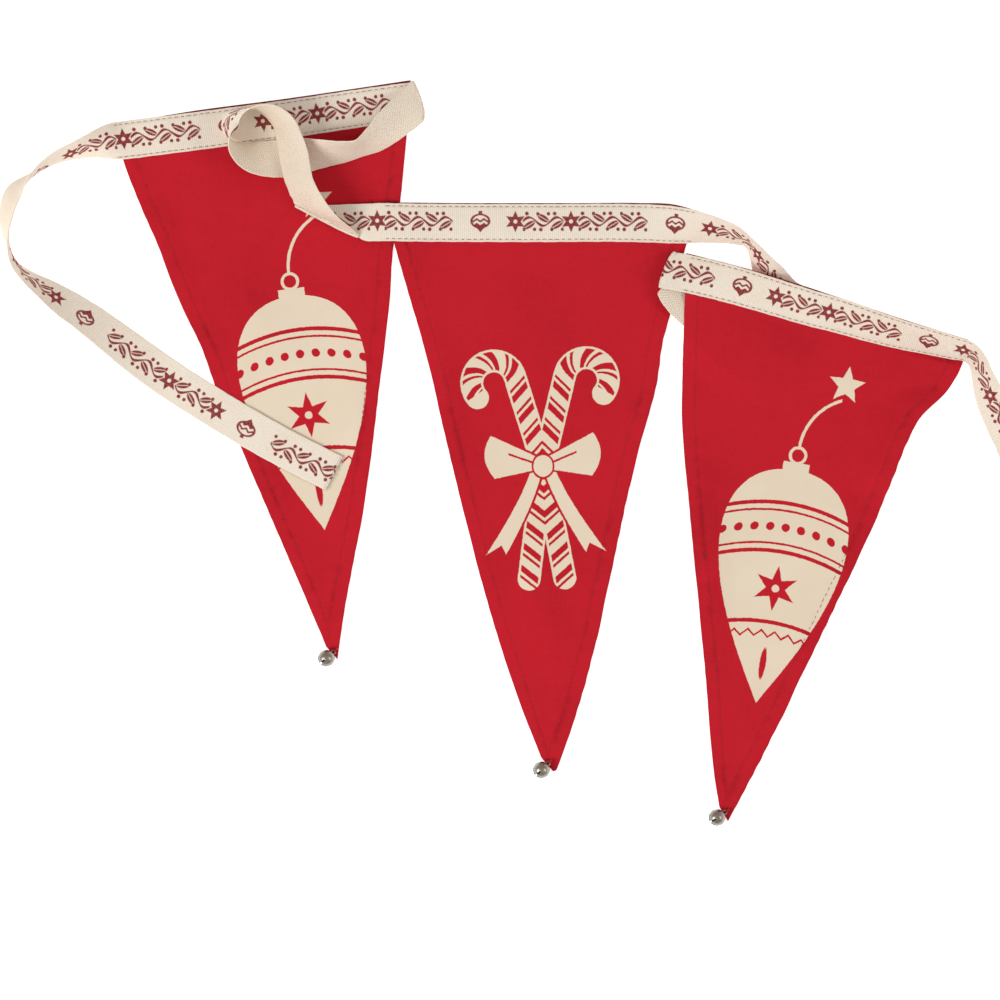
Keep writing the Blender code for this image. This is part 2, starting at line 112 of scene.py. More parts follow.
# The reliefs of the finishes, in metres.
TAPE_FRONT_RELIEF = 0.00011
TAPE_BACK_RELIEF = 0.00012
CLOTH_RELIEF = 0.00009
FINE_RELIEF = 0.00006

# The tape's route, as in the solids: x and y place the middle of its width, foot is the
# height of its lower edge, roll turns it about its length, cup curves it across, and
# steps says how finely the way to the next station is divided.
Station = namedtuple("Station", "x y foot roll cup steps")


def stations(*rows):
    """A run of the tape's stations from their plain numbers."""
    return [Station(*row) for row in rows]


LEFT_TAIL_AND_PENNANT_1 = stations(
    (-102.8, 13.2, 2.3, 0, 0, 3), (-129.8, 27.0, 2.3, 0, 0, 3), (-151.0, 39.0, 2.3, 0, 0, 3),
    (-168.0, 49.4, 2.0, 0, 0, 3), (-184.0, 59.6, 0.7, 2, 0, 2), (-200.0, 71.0, 0.5, 12, 0, 2),
    (-215.0, 82.6, 0.5, 26, 0, 2), (-227.2, 91.8, 0.5, 35, 0, 2), (-238.0, 99.0, 0.5, 43, 0, 2),
    (-246.4, 105.0, 0.5, 56, 0, 2), (-255.0, 111.0, 0.5, 70, 0, 3), (-262.6, 118.6, 0.5, 84, 26, 3),
    (-266.0, 129.0, 0.5, 98, 26, 3), (-266.2, 141.0, 0.5, 114, 8, 3),
    (-263.2, 152.2, 0.5, 121, 16, 3), (-255.0, 161.8, 0.5, 98, 44, 3),
    (-242.4, 170.2, 0.5, 78, 44, 3), (-230.0, 174.7, 0.6, 65, 8, 2),
    (-222.0, 177.0, 1.3, 50, -6, 2), (-215.4, 178.6, 2.1, 28, 0, 2), (-208.6, 179.6, 2.4, 6, 0, 2),
    (-200.0, 180.7, 2.3, 0, 0, 2), (-162.0, 185.6, 2.3, 0, 0, 2), (-124.0, 190.6, 2.3, 0, 0, 2),
    (-88.0, 196.0, 2.3, 0, 0, 2), (-60.0, 199.8, 2.3, 0, 0, 0),
)
BACK_OVER_PENNANT_1 = stations(
    (-60.0, 199.8, 3.7, 180, 0, 4), (-73.0, 188.4, 3.0, 154, 0, 3), (-82.6, 179.8, 2.2, 131, 6, 3),
    (-91.0, 175.0, 1.9, 114, 10, 3), (-98.6, 173.4, 1.9, 121, 8, 3),
    (-106.0, 172.8, 2.0, 130, 4, 3), (-113.6, 172.2, 2.6, 144, 0, 3),
    (-121.6, 171.4, 3.6, 170, 0, 3), (-129.6, 170.6, 3.7, 182, 0, 3),
    (-138.0, 170.4, 3.7, 199, 0, 2), (-146.0, 172.0, 3.7, 221, -10, 3),
    (-152.2, 176.4, 3.8, 250, -10, 3), (-155.2, 182.4, 4.0, 282, 10, 3),
    (-154.0, 188.8, 4.0, 299, 30, 3), (-148.8, 193.2, 4.0, 282, 20, 3),
    (-141.6, 194.8, 4.0, 266, 0, 3), (-134.4, 193.2, 4.4, 250, -20, 3),
    (-128.4, 188.4, 5.2, 236, -34, 3), (-124.8, 180.0, 6.2, 226, -36, 3),
    (-122.4, 170.4, 6.8, 219, -30, 3), (-120.6, 161.2, 6.2, 222, -24, 3),
    (-117.4, 153.0, 5.4, 226, -16, 3), (-111.4, 144.6, 4.9, 216, -8, 3),
    (-106.4, 139.4, 4.7, 180, 0, 0),
)
PENNANT_2_AND_ON_UNDER_PENNANT_3 = stations(
    (-106.4, 139.4, 2.6, 0, 0, 4), (-97.0, 138.6, 3.0, 0, 0, 2), (-87.0, 138.6, 3.8, 0, 0, 2),
    (-78.0, 138.8, 4.5, 0, 0, 2), (-67.0, 138.6, 4.4, 0, 0, 2), (-46.0, 138.5, 2.3, 0, 0, 2),
    (0.0, 138.4, 2.3, 0, 0, 2), (46.0, 138.4, 2.3, 0, 0, 2), (58.0, 138.0, 2.3, 6, 0, 2),
    (66.0, 137.4, 2.3, 15, 0, 2), (73.0, 136.7, 2.3, 26, 0, 2), (80.0, 135.8, 1.8, 39, 0, 2),
    (88.0, 134.4, 0.6, 51, 0, 2), (97.5, 131.8, 0.5, 65, 0, 3), (104.2, 128.0, 0.5, 77, 0, 3),
    (108.2, 122.6, 0.5, 68, 0, 3), (111.4, 116.8, 0.5, 52, 0, 3), (114.8, 110.4, 0.5, 24, 0, 3),
    (120.4, 103.2, 0.5, 6, 0, 3), (129.0, 97.6, 0.5, 1, 0, 2), (142.0, 91.4, 0.5, 0, 0, 2),
    (160.0, 83.6, 0.5, 0, 0, 2), (179.0, 76.5, 0.5, 0, 0, 0),
)
BACK_FROM_UNDER_PENNANT_3 = stations(
    (179.0, 76.5, 1.85, 180, 0, 2), (153.0, 72.4, 1.85, 180, 0, 2), (126.0, 71.4, 1.85, 180, 0, 2),
    (106.0, 74.4, 1.85, 180, 0, 2), (91.0, 81.8, 1.9, 180, 0, 3), (80.2, 92.0, 2.1, 184, 0, 3),
    (69.8, 101.6, 2.8, 193, 12, 4), (63.6, 114.8, 5.0, 180, 0, 0),
)
PENNANT_3_AND_RIGHT_TAIL = stations(
    (63.6, 114.8, 8.4, 0, 0, 3), (77.6, 112.0, 7.0, 2, 0, 3), (92.0, 108.5, 5.8, 7, 0, 2),
    (106.0, 104.5, 5.4, 14, 0, 2), (120.0, 100.2, 5.2, 19, 0, 2), (135.0, 95.6, 5.0, 23, 0, 2),
    (150.0, 91.5, 5.0, 28, 0, 2), (165.0, 86.7, 5.0, 35, 0, 2), (180.0, 82.3, 5.0, 43, 0, 2),
    (195.0, 78.6, 4.4, 50, 0, 2), (206.0, 75.8, 3.6, 55, 0, 2), (213.6, 73.6, 2.6, 61, 0, 2),
    (217.8, 69.4, 1.4, 65, 0, 3), (220.4, 62.4, 0.5, 60, 0, 3), (223.4, 54.0, 0.5, 47, 0, 3),
    (229.4, 41.4, 0.5, 32, 0, 3), (236.4, 28.4, 0.5, 20, 0, 2), (246.6, 2.0, 0.5, 4, 0, 3),
    (255.8, -35.0, 0.5, 0, 0, 2), (262.0, -70.0, 0.5, 0, 0, 2), (265.0, -105.0, 0.5, 0, 0, 2),
    (264.0, -140.0, 0.5, 0, 0, 2), (258.0, -172.0, 0.5, 0, 0, 0),
)
TAPE_RUNS = (
    LEFT_TAIL_AND_PENNANT_1,
    BACK_OVER_PENNANT_1,
    PENNANT_2_AND_ON_UNDER_PENNANT_3,
    BACK_FROM_UNDER_PENNANT_3,
    PENNANT_3_AND_RIGHT_TAIL,
)

# Each crease's direction and length, and how far its ends at the tape's left and right
# edges are drawn back, which rounds the corners of the fold.
Crease = namedtuple("Crease", "angle length left right")

CREASES = (
    Crease(-71.0, 20.6, 0.8, 2.4),
    Crease(-27.6, 35.6, 0.0, 0.9),
    Crease(-110.0, 19.6, 0.0, 0.0),
    Crease(-111.0, 19.4, 1.6, 1.0),
)

# The print repeats along the tape. Each mark is a place along it, in millimetres from the
# left tie end, and the number of repeats that have passed there.
PRINT_REPEAT = 98.25
Mark = namedtuple("Mark", "along repeats")

PRINT_MARKS = (
    Mark(49.4, 0), Mark(147.0, 1), Mark(345.2, 3), Mark(730.3, 7), Mark(827.9, 8),
    Mark(877.0, 8.5), Mark(1092.7, 10.5), Mark(1141.9, 11), Mark(1238.7, 12),
)

# Each pennant's edges, and the stretch of tape that it is sewn to, from one x to another
# on the part of its run that lies above a y.
Pennant = namedtuple("Pennant", "name run above start end top left right waves bell")
Point = namedtuple("Point", "x y")

PENNANTS = (
    Pennant(
        "pennant_1", run=0, above=165, start=-213.0, end=-62.0,
        top=(
            (-212.8, 187.4), (-178.6, 193.6), (-126.0, 200.7), (-64.6, 209.8),
        ),
        left=(
            (-212.8, 187.4), (-208.6, 170.4), (-201.5, 151.5), (-192.2, 130.0), (-178.5, 95.5),
            (-170.0, 78.0), (-162.0, 56.0), (-140.6, 5.5), (-112.5, -60.0), (-107.0, -73.2),
        ),
        right=(
            (-64.6, 209.8), (-70.0, 148.2), (-73.2, 127.0), (-75.0, 102.0), (-80.6, 53.5),
            (-86.6, 5.5), (-98.6, -61.0), (-101.2, -79.6),
        ),
        waves=(0.15, 0.15),
        bell=Point(-106.7, -79.0),
    ),
    Pennant(
        "pennant_2", run=2, above=100, start=-78.0, end=77.0,
        top=(
            (-78.0, 148.6), (-30.0, 148.4), (20.0, 148.4), (50.0, 148.4), (66.0, 147.6),
            (79.0, 144.0),
        ),
        left=(
            (-78.0, 148.6), (-73.0, 128.6), (-65.4, 102.0), (-55.2, 66.0), (-48.0, 34.4),
            (-3.0, -120.0), (0.6, -128.8),
        ),
        right=(
            (79.0, 144.0), (73.4, 128.4), (65.0, 92.4), (61.6, 80.0), (57.6, 54.0), (54.6, 44.0),
            (13.8, -120.0), (9.0, -133.2), (8.2, -135.1), (6.6, -135.7),
        ),
        waves=(0.12, 0.24),
        bell=Point(0.7, -134.7),
    ),
    Pennant(
        "pennant_3", run=4, above=60, start=72.0, end=214.0,
        top=(
            (73.0, 123.2), (98.0, 116.8), (127.4, 108.0), (150.0, 100.4), (180.0, 90.0),
            (213.0, 79.7),
        ),
        left=(
            (73.0, 123.2), (72.4, 106.0), (71.6, 80.0), (71.0, 40.0), (74.6, -4.0), (82.4, -84.0),
            (88.2, -145.0), (89.6, -153.2),
        ),
        right=(
            (213.0, 79.7), (211.6, 69.4), (204.0, 55.4), (188.2, 38.6), (183.8, 30.0), (173.6, 4.0),
            (136.6, -76.0), (102.4, -145.0), (94.0, -160.6),
        ),
        waves=(0.12, 0.32),
        bell=Point(88.4, -158.5),
    ),
)

# Where the cloth is off the surface, as in the solids: from one point to another, as high
# for some way to each side and then fading.
Lift = namedtuple("Lift", "x0 y0 x1 y1 flat fade height")

LIFTS = {
    "pennant_1": (
        Lift(-196, 138, -184, 108, 0, 15, 1.6),
        Lift(-92, 92, -94, 36, 0, 16, 1.2),
        Lift(-150, 100, -128, 72, 0, 18, 1.0),
        Lift(-118, -26, -110, -50, 0, 14, 0.8),
    ),
    "pennant_2": (
        Lift(-78, 152, -76, 126, 7, 16, 1.9),
        Lift(-52, 76, -42, 36, 0, 14, 1.2),
        Lift(62, 84, 52, 40, 0, 13, 2.2),
        Lift(-4, -40, 8, -90, 0, 15, 1.0),
    ),
    "pennant_3": (
        Lift(184, 78, 126, 71.6, 14, 15, 3.0),
        Lift(126, 71.6, 104, 76, 14, 15, 3.0),
        Lift(104, 76, 78, 98, 14, 14, 3.6),
        Lift(188, 44, 172, 14, 2, 17, 5.0),
        Lift(80, 10, 86, -60, 0, 14, 1.4),
        Lift(150, -10, 124, -70, 0, 18, 1.4),
    ),
}

# Where each print is centred, and how far it is turned, in degrees.
Print = namedtuple("Print", "x y turn")

PRINTS = {
    "pennant_1": Print(-118.0, 59.3, 8.0),
    "pennant_2": Print(1.5, 17.0, 2.0),
    "pennant_3": Print(120.5, -27.5, -9.7),
}


# Finishes ------------------------------------------------------------------------------


def adds(operation, swapped=False):
    """A method that adds one Math node to a finish and gives what comes out of it."""

    def method(self, *others):
        numbers = (*others, self) if swapped else (self, *others)
        return self.finish.node("Math", {"operation": operation}, dict(enumerate(numbers)))

    return method


class Value:
    """A socket that takes part in arithmetic."""

    __add__ = __radd__ = adds("ADD")
    __sub__ = adds("SUBTRACT")
    __rsub__ = adds("SUBTRACT", swapped=True)
    __mul__ = __rmul__ = adds("MULTIPLY")
    __truediv__ = adds("DIVIDE")
    __pow__ = adds("POWER")
    __abs__ = adds("ABSOLUTE")
    low = adds("MINIMUM")
    high = adds("MAXIMUM")
    below = adds("LESS_THAN")
    angle = adds("ARCTAN2")
    sine = adds("SINE")
    root = adds("SQRT")
    between = adds("WRAP")

    def __init__(self, finish, socket):
        self.finish = finish
        self.socket = socket

    def __neg__(self):
        return self * -1.0

    def wrap(self, top, bottom=0.0):
        """The value brought between two others by whole steps from one to the other."""
        return self.between(top, bottom)

    def waves(self, length):
        """A sine wave along the value that repeats at this length."""
        return (self * (math.tau / length)).sine()

    def held(self):
        """The value, but no less than 0 and no more than 1."""
        return self.finish.node("Clamp", {}, {"Value": self})


def hypot(a, b):
    """The length of the arrow with sides a and b."""
    return (a * a + b * b).root()


def ink(distance, soft):
    """1 where a distance in millimetres is negative and 0 outside, with a soft edge."""
    return (0.5 - distance / soft).held()


class Finish:
    """A material and the nodes that make it."""

    def __init__(self, name, roughness, metallic=0.0, specular=0.5):
        self.material = bpy.data.materials.new(name)
        self.material.use_nodes = True
        self.tree = self.material.node_tree
        self.shader = self.tree.nodes["Principled BSDF"]
        self.shader.inputs["Roughness"].default_value = roughness
        self.shader.inputs["Metallic"].default_value = metallic
        self.shader.inputs["Specular IOR Level"].default_value = specular

    def node(self, kind, settings, sockets, output=0):
        """Adds a node: first its settings, then what its sockets take; gives one output."""
        node = self.tree.nodes.new("ShaderNode" + kind)
        for name, value in settings.items():
            setattr(node, name, value)
        for name, value in sockets.items():
            self.join(node.inputs[name], value)
        return Value(self, node.outputs[output])

    def join(self, socket, value):
        """Links a value to a socket, or sets the socket to a number or colour."""
        if isinstance(value, Value):
            self.tree.links.new(value.socket, socket)
        else:
            socket.default_value = value

    def mix(self, factor, first, second):
        """A colour between two others."""
        settings = {"data_type": "RGBA", "clamp_factor": True}
        return self.node("Mix", settings, {0: factor, 6: first, 7: second}, 2)

    def noise(self, vector, scale, detail=2.0):
        """Even noise from 0 to 1."""
        sockets = {"Vector": vector, "Scale": scale, "Detail": detail, "Roughness": 0.5}
        return self.node("TexNoise", {"noise_dimensions": "3D"}, sockets)

    def attribute(self, name, output):
        """What the piece's own attribute holds: 1 is its vector and 2 its number."""
        return self.node("Attribute", {"attribute_name": name}, {}, output)

    def spot(self):
        """Where a point is on its own piece, in metres."""
        return self.node("TexCoord", {}, {}, 3)

    def stretched(self, vector, *sizes):
        """A vector with each of its parts multiplied by a size of its own."""
        return self.node("VectorMath", {"operation": "MULTIPLY"}, {0: vector, 1: sizes})

    def parts(self, vector):
        """A vector's x, y and z."""
        return [self.node("SeparateXYZ", {}, {0: vector}, k) for k in range(3)]

    def wear(self, colour, height, distance):
        """Sets the shader's colour and its relief."""
        self.join(self.shader.inputs["Base Color"], colour)
        sockets = {"Height": height, "Distance": distance, "Strength": 1.0}
        self.join(self.shader.inputs["Normal"], self.node("Bump", {}, sockets))


def linear(red, green, blue):
    """A colour as it is on a screen, from 0 to 255, as the shader takes it."""
    shades = [shade / 255 for shade in (red, green, blue)]
    return (*[c / 12.92 if c <= 0.04045 else ((c + 0.055) / 1.055) ** 2.4 for c in shades], 1.0)


TAPE_CREAM = linear(244, 231, 215)
TAPE_CREAM_DULL = linear(231, 214, 193)
TAPE_BACK = linear(245, 230, 210)
TAPE_SHADE = linear(178, 152, 126)
PRINT_RED = linear(132, 24, 30)
CLOTH_RED = linear(194, 28, 41)
# A darker red, for the cloth's uneven tone and for its painted shade.
CLOTH_RED_DEEP = linear(166, 21, 33)
# Painted shade along the cloth's top edge, beside the tape.
TOP_EDGE_SHADE_RED = linear(104, 14, 24)
PRINT_CREAM = linear(232, 217, 194)
PRINT_CREAM_DULL = linear(222, 203, 176)
SEAM_THREAD = linear(140, 84, 76)
SEAM_THREAD_SHADE = linear(112, 58, 54)
HEM_THREAD = linear(178, 30, 40)
HEM_THREAD_SHADE = linear(164, 24, 34)
NICKEL = linear(176, 168, 157)
NICKEL_SHADE = linear(126, 118, 107)
BELL_INSIDE = linear(74, 66, 56)
BELL_INSIDE_SHADE = linear(40, 35, 30)
TABLE_WHITE = (0.94, 0.94, 0.94, 1.0)
TABLE_GRAIN = (0.92, 0.92, 0.92, 1.0)


def rotated(x, y, degrees):
    """x and y along axes that are turned by an angle."""
    turn = math.radians(degrees)
    return (
        x * math.cos(turn) + y * math.sin(turn),
        y * math.cos(turn) - x * math.sin(turn),
    )


def star(x, y, points, radius, waist):
    """A star as a distance, one point upwards."""
    share = math.tau / points
    tip = Vector((radius, 0.0))
    notch = Vector((math.cos(share / 2), math.sin(share / 2))) * radius * waist
    side = (notch - tip).normalized()
    angle = abs(x.angle(y).wrap(share / 2, -share / 2))
    reach = hypot(x, y)
    across = reach * angle.sine()
    out = reach * (angle + math.pi / 2).sine()
    return (out - radius) * side.y - across * side.x


def bauble(along, across):
    """The small bauble of the tape's print, as a distance: negative in the ink."""
    round_it = (hypot(along / 4.5, (across + 0.2) / 3.3) - 1.0) * 3.3
    outline = abs(round_it) - 0.45
    cap = (abs(along) - 0.95).high(abs(across - 3.9) - 0.95)
    drop = (abs(along) * 1.1 - (across + 5.8)).high(across + 2.7)
    ripple = (along * (math.tau / 3.6) + math.pi / 2).sine() * 0.5
    wave = abs(across - 0.2 + ripple) - 0.55
    foot = across + 1.6 + ripple
    bands = wave.low(foot).high(round_it)
    return outline.low(cap).low(drop).low(bands)


def scroll(along, across):
    """The printed run between two baubles: a waving stem with leaves, berries and stars."""
    wave = along.waves(14) * 2.1
    stem = abs(across - wave) * 0.8 - along.waves(7) * 0.16 - 0.5
    cell = along.wrap(7.0) - 3.5
    side = along.wrap(14.0).below(7.0) * 2.0 - 1.0
    facing = across * side
    lean_along = cell * 0.86 + (facing + 1.7) * 0.51
    lean_across = (facing + 1.7) * 0.86 - cell * 0.51
    leaf = (hypot(lean_along / 3.3, lean_across / 1.5) - 1.0) * 1.5
    leaf = leaf.high(0.16 - abs(lean_across))
    berries = hypot(abs(cell) - 2.7, facing + 3.9) - 0.9
    bud = hypot(cell + 1.2, facing - 4.0) - 0.95
    run = stem.low(leaf).low(berries).low(bud).high(abs(along) - 35.0)
    for centre in (-31.5, -3.5):
        aside = along - centre
        rays = star(aside, across, 6, 5.4, 0.5).high(1.0 - hypot(aside, across))
        run = run.high(3.7 - abs(aside)).low(rays)
    return run


def tape_print(finish, flat):
    """Where the tape's print has ink, from 0 to 1."""
    along, across, repeats = finish.parts(flat)
    grain = finish.noise(flat, 2.2, 1.0)
    along = (repeats + 0.5).wrap(1.0) * PRINT_REPEAT - PRINT_REPEAT / 2 + grain * 0.5 - 0.25
    middle = repeats.wrap(1.0) * PRINT_REPEAT - PRINT_REPEAT / 2
    across = across + finish.noise(flat, 3.1, 1.0) * 0.5 - 0.25
    return ink(bauble(along, across - 1.1).low(scroll(middle, across - 0.7)), 0.4)


def printed_tape():
    """The tape's front: cream cotton with fine ribs across it, a dark red print, painted seam
    shade.
    """
    finish = Finish("printed_tape", 0.92, specular=0.2)
    flat = finish.attribute("flat", 1)
    along, across, _ = finish.parts(flat)
    ribs = along.waves(1.0)
    ends = (across * (math.tau / 0.62) + along * 3.3).sine()
    slubs = finish.noise(finish.stretched(flat, 0.12, 1.3, 0), 1.0)
    blotch = finish.noise(flat, 0.05, 3.0)
    # Painted shade along the two rows of stitches, where the sewn tape dips into its seam.
    seam = ink(abs(abs(across) - TAPE_WIDTH / 2 * SEAM_PLACE) - 0.4, 0.7)
    seam = seam * finish.attribute("sewn", 2)
    dull_and_seam_shade = (blotch * 0.9 + slubs * 0.5 - 0.35 + ribs * 0.26 + ends * 0.2 + seam * 0.4).held()
    cream = finish.mix(dull_and_seam_shade, TAPE_CREAM, TAPE_CREAM_DULL)
    patchy = tape_print(finish, flat) * (0.8 + finish.noise(flat, 1.4, 2.0) * 0.3).low(1.0)
    relief = ribs * 0.5 + ends * 0.35 + slubs * 0.6 - seam * 1.6
    finish.wear(finish.mix(patchy, cream, PRINT_RED), relief, TAPE_FRONT_RELIEF)
    return finish.material


def tape_back():
    """The tape's back: the bare weave, with specks of the print showing through it."""
    finish = Finish("tape_back", 0.94, specular=0.2)
    flat = finish.attribute("flat", 1)
    along, across, _ = finish.parts(flat)
    twill = (along * (math.tau / 1.15) + abs(across.wrap(3.2) - 1.6) * 3.0).sine()
    weft = across.waves(1.05)
    pits = (twill * weft * 1.4 - 0.4).held()
    blotch = finish.noise(flat, 0.06, 3.0)
    specks = (finish.noise(flat, 0.9, 2.0) * 4.0 - 2.1).held()
    through = tape_print(finish, flat) * (specks * 0.16 + 0.025)
    cream = finish.mix((blotch * 0.8 - 0.15).held(), TAPE_BACK, TAPE_CREAM_DULL)
    pitted = finish.mix(pits * 0.75, cream, TAPE_SHADE)
    relief = weft * 0.4 + twill * 0.4 - pits
    finish.wear(finish.mix(through, pitted, PRINT_RED), relief, TAPE_BACK_RELIEF)
    return finish.material


def red_cloth(name, roughness):
    """Plain-woven red cotton: a finish, the spot in millimetres, its colour with painted shade, and
    its relief.
    """
    finish = Finish(name, roughness, specular=0.12)
    spot = finish.stretched(finish.spot(), 1000, 1000, 1000)
    x, y, _ = finish.parts(spot)
    weave = x.waves(0.7) * y.waves(0.7)
    slub_x = finish.noise(finish.stretched(spot, 1.4, 0.07, 1), 1.0)
    slub_y = finish.noise(finish.stretched(spot, 0.07, 1.4, 1), 1.0)
    cloud = finish.noise(spot, 0.018, 3.0)
    mottle = finish.noise(spot, 0.22, 3.0)
    edge = finish.attribute("edge", 2)
    # Painted shade: darker along the turned side edges, along the hem's stitch line and in the dips
    # beside it.
    rolled_edge_shade = ink(edge - 0.7, 1.2)
    sewn = ink(abs(edge - HEM_SEAM) - 0.5, 1.6)
    hem_dent_shade = ink(abs(edge - 6.0) - 1.0, 2.4) * (cloud * 5.0 + mottle * 3.0 - 4.0).held()
    # Uneven tone at random, with the painted shade of the edges, the hem line and its dips added to
    # it.
    tone_and_shade = cloud * 1.3 + (slub_x + slub_y) * 0.35 + mottle * 0.5 - 1.15
    tone_and_shade = tone_and_shade + sewn * 0.18 + rolled_edge_shade * 0.3 + hem_dent_shade * 0.7 + weave * 0.05
    colour = finish.mix(tone_and_shade.held(), CLOTH_RED, CLOTH_RED_DEEP)
    # Painted shade: the cloth turns a darker red within about 1.5 mm of its top edge.
    top_edge_shade = ink(finish.attribute("top", 2) - 1.5, 1.2)
    relief = weave * 0.5 + (slub_x + slub_y) * 0.8 - sewn * 2.2
    return finish, spot, finish.mix(top_edge_shade * 0.85, colour, TOP_EDGE_SHADE_RED), relief


def ornament(x, y):
    """A long glass ornament on a cord with a star, as a distance: negative in the ink."""
    share = ((y + 75) / 118).held()
    body = abs(x) - share**1.05 * (1.0 - share) ** 0.45 * 80.0
    body = body.high(-75.0 - y).high(y - 43.0)
    bow = y + x * x * 0.006
    for height, half in ((26, 1.0), (22.2, 0.55), (5.4, 0.55), (1.6, 1.0), (-34, 1.0)):
        body = body.high(half - abs(bow - height))
    dots = hypot(x.wrap(3.9, -3.9), bow - 13.8) - 2.1
    flake = star(x, y + 17, 6, 11.5, 0.42)
    eye = 1.9 - hypot(x, y + 17)
    scallop = abs(bow + 41.5 - abs(x.wrap(3.4, -3.4)) * 0.9) - 0.6
    oval = hypot(x, (y + 55) / 5.0) - 1.6
    for carved in (dots, flake.high(eye), scallop, oval):
        body = body.high(-carved)
    cap = (abs(x) - 6.6).high(abs(y - 42.5) - 4.2).high(0.7 - abs(y - 41.2))
    ring = abs(hypot(x, y - 50.4) - 3.9) - 0.75
    cord = (abs(hypot(x - 29.25, y - 54.5) - 29.25) - 0.75).high(54.0 - y).high(x - 17.0)
    return body.low(cap).low(ring).low(cord).low(star(x - 18, y - 89, 5, 9.5, 0.45))


def stripes(along, across, half):
    """Where a cane is left unprinted for its stripes, as a distance."""
    place = (along + across * 0.6).wrap(11.0)
    wide = abs(place - 2.6) - 1.7
    narrow = abs(place - 6.6) - 0.75
    return (wide.low(narrow) * 0.85).high(abs(across) - half + 1.1)


def canes(x, y):
    """Two striped canes crossed behind a bow, as a distance: negative in the ink."""
    side, half = abs(x), 5.7
    hook, hook_end, shaft = 11.0, math.radians(205), 47.0
    straight, rise = rotated(side, y, -15.5)
    rise = rise - shaft
    round_hook = rise.angle(hook - straight).wrap(math.tau) * hook
    bent = hook - hypot(rise, hook - straight)
    on_hook = 1.0 - rise.below(0.0) * straight.below(hook)
    across = straight + on_hook * (bent - straight)
    along = rise + on_hook * (round_hook - rise)
    beyond = along - hook_end * hook
    end_x, end_y = hook - math.cos(hook_end) * hook, math.sin(hook_end) * hook
    cane = (abs(across) - half).high(beyond)
    cane = cane.low(hypot(rise - end_y, straight - end_x) - half).high(-y - 2.0)
    cane = cane.high(-stripes(along, across, half).high(beyond + 1.5))
    foot = 57.0
    across, rise = rotated(side, y, 9.0)
    along = -rise
    stem = (abs(across) - half).high(along - foot)
    stem = stem.low(hypot(across, along - foot) - half).high(y)
    stem = stem.high(-stripes(along + 3.0, across, half))
    loop_end = side - 29.0 + (y - 6.0) ** 2.0 * 0.035
    lobe = (abs(y - side * 0.16 - 1.0) - side * 0.34 - 2.2).high(loop_end)
    crease = (abs(y - side * 0.38) - 0.55).high(side - 17.0)
    drop = -y
    middle = (drop.high(0.0) / 42.0) ** 1.3 * 21.0 + 3.0
    aside = abs(side - middle)
    tail = (aside - drop * 0.055 - 2.7).high(2.0 - drop)
    tail = tail.high(drop - 39.0 - aside * 0.9)
    knot = hypot(x / 4.8, y / 5.4) * 5.0 - 5.0
    lobe = lobe.high(-crease).high(1.0 - knot)
    tail = tail.high(1.0 - knot).high(1.0 - lobe)
    bow = lobe.low(tail).low(knot)
    return cane.low(stem).high(1.3 - bow).low(bow)


def printed_cloth(name, place, picture):
    """A pennant's front: red cotton with one cream print, slightly uneven as from a screen."""
    finish, spot, colour, relief = red_cloth(f"printed_cloth_{name}", 0.86)
    x, y, _ = finish.parts(spot)
    x, y = rotated(x - place.x, y - place.y, place.turn)
    x = x + finish.noise(spot, 0.6, 1.0) * 0.5 - 0.25
    y = y + finish.noise(spot, 0.7, 1.0) * 0.5 - 0.25
    mask = ink(picture(x, y), 0.3)
    blotch = finish.noise(spot, 0.03, 3.0)
    fleck = (finish.noise(spot, 1.5, 2.0) * 3.0 - 2.1).held()
    cream = finish.mix(blotch, PRINT_CREAM, PRINT_CREAM_DULL)
    cream = finish.mix(fleck * 0.3, cream, CLOTH_RED)
    relief = relief * (1.0 - mask * 0.45) + mask * 0.5
    finish.wear(finish.mix(mask, colour, cream), relief, CLOTH_RELIEF)
    return finish.material


def plain_cloth():
    """A pennant's back: red cotton without a print."""
    finish, _, colour, relief = red_cloth("plain_cloth", 0.88)
    finish.wear(colour, relief, CLOTH_RELIEF)
    return finish.material


def thread(name, colour, shade):
    """Twisted sewing thread."""
    finish = Finish(name, 0.7)
    fuzz = finish.noise(finish.spot(), 2500.0)
    finish.wear(finish.mix(fuzz, colour, shade), fuzz, FINE_RELIEF)
    return finish.material


def bell_metal(name, light, dark, roughness):
    """Pressed metal, cloudy and specked, from a light shade to a dark one."""
    finish = Finish(name, roughness, 1.0)
    cloud = finish.noise(finish.spot(), 420.0, 4.0)
    speck = (finish.noise(finish.spot(), 1700.0) * 4.0 - 2.4).held()
    metal = finish.mix(cloud, light, dark)
    uneven = cloud * 0.16 + speck * 0.2 + roughness - 0.08
    finish.join(finish.shader.inputs["Roughness"], uneven)
    finish.wear(finish.mix(speck * 0.5, metal, dark), cloud + speck * 0.4, FINE_RELIEF)
    return finish.material


# Shapes --------------------------------------------------------------------------------


def piece(name, mesh):
    """A new object of the scene."""
    item = bpy.data.objects.new(name, mesh)
    bpy.context.scene.collection.objects.link(item)
    return item


def mesh_from(name, points, faces, edges=()):
    """A mesh from points in millimetres."""
    mesh = bpy.data.meshes.new(name)
    mesh.from_pydata([[float(c) * MM for c in point] for point in points], edges, faces)
    return mesh


def note(mesh, name, kind, values):
    """Keeps values at a mesh's points, for its finish to read."""
    layer = mesh.attributes.new(name, kind, "POINT")
    field = "vector" if kind == "FLOAT_VECTOR" else "value"
    layer.data.foreach_set(field, np.ravel(values).astype(np.float32))


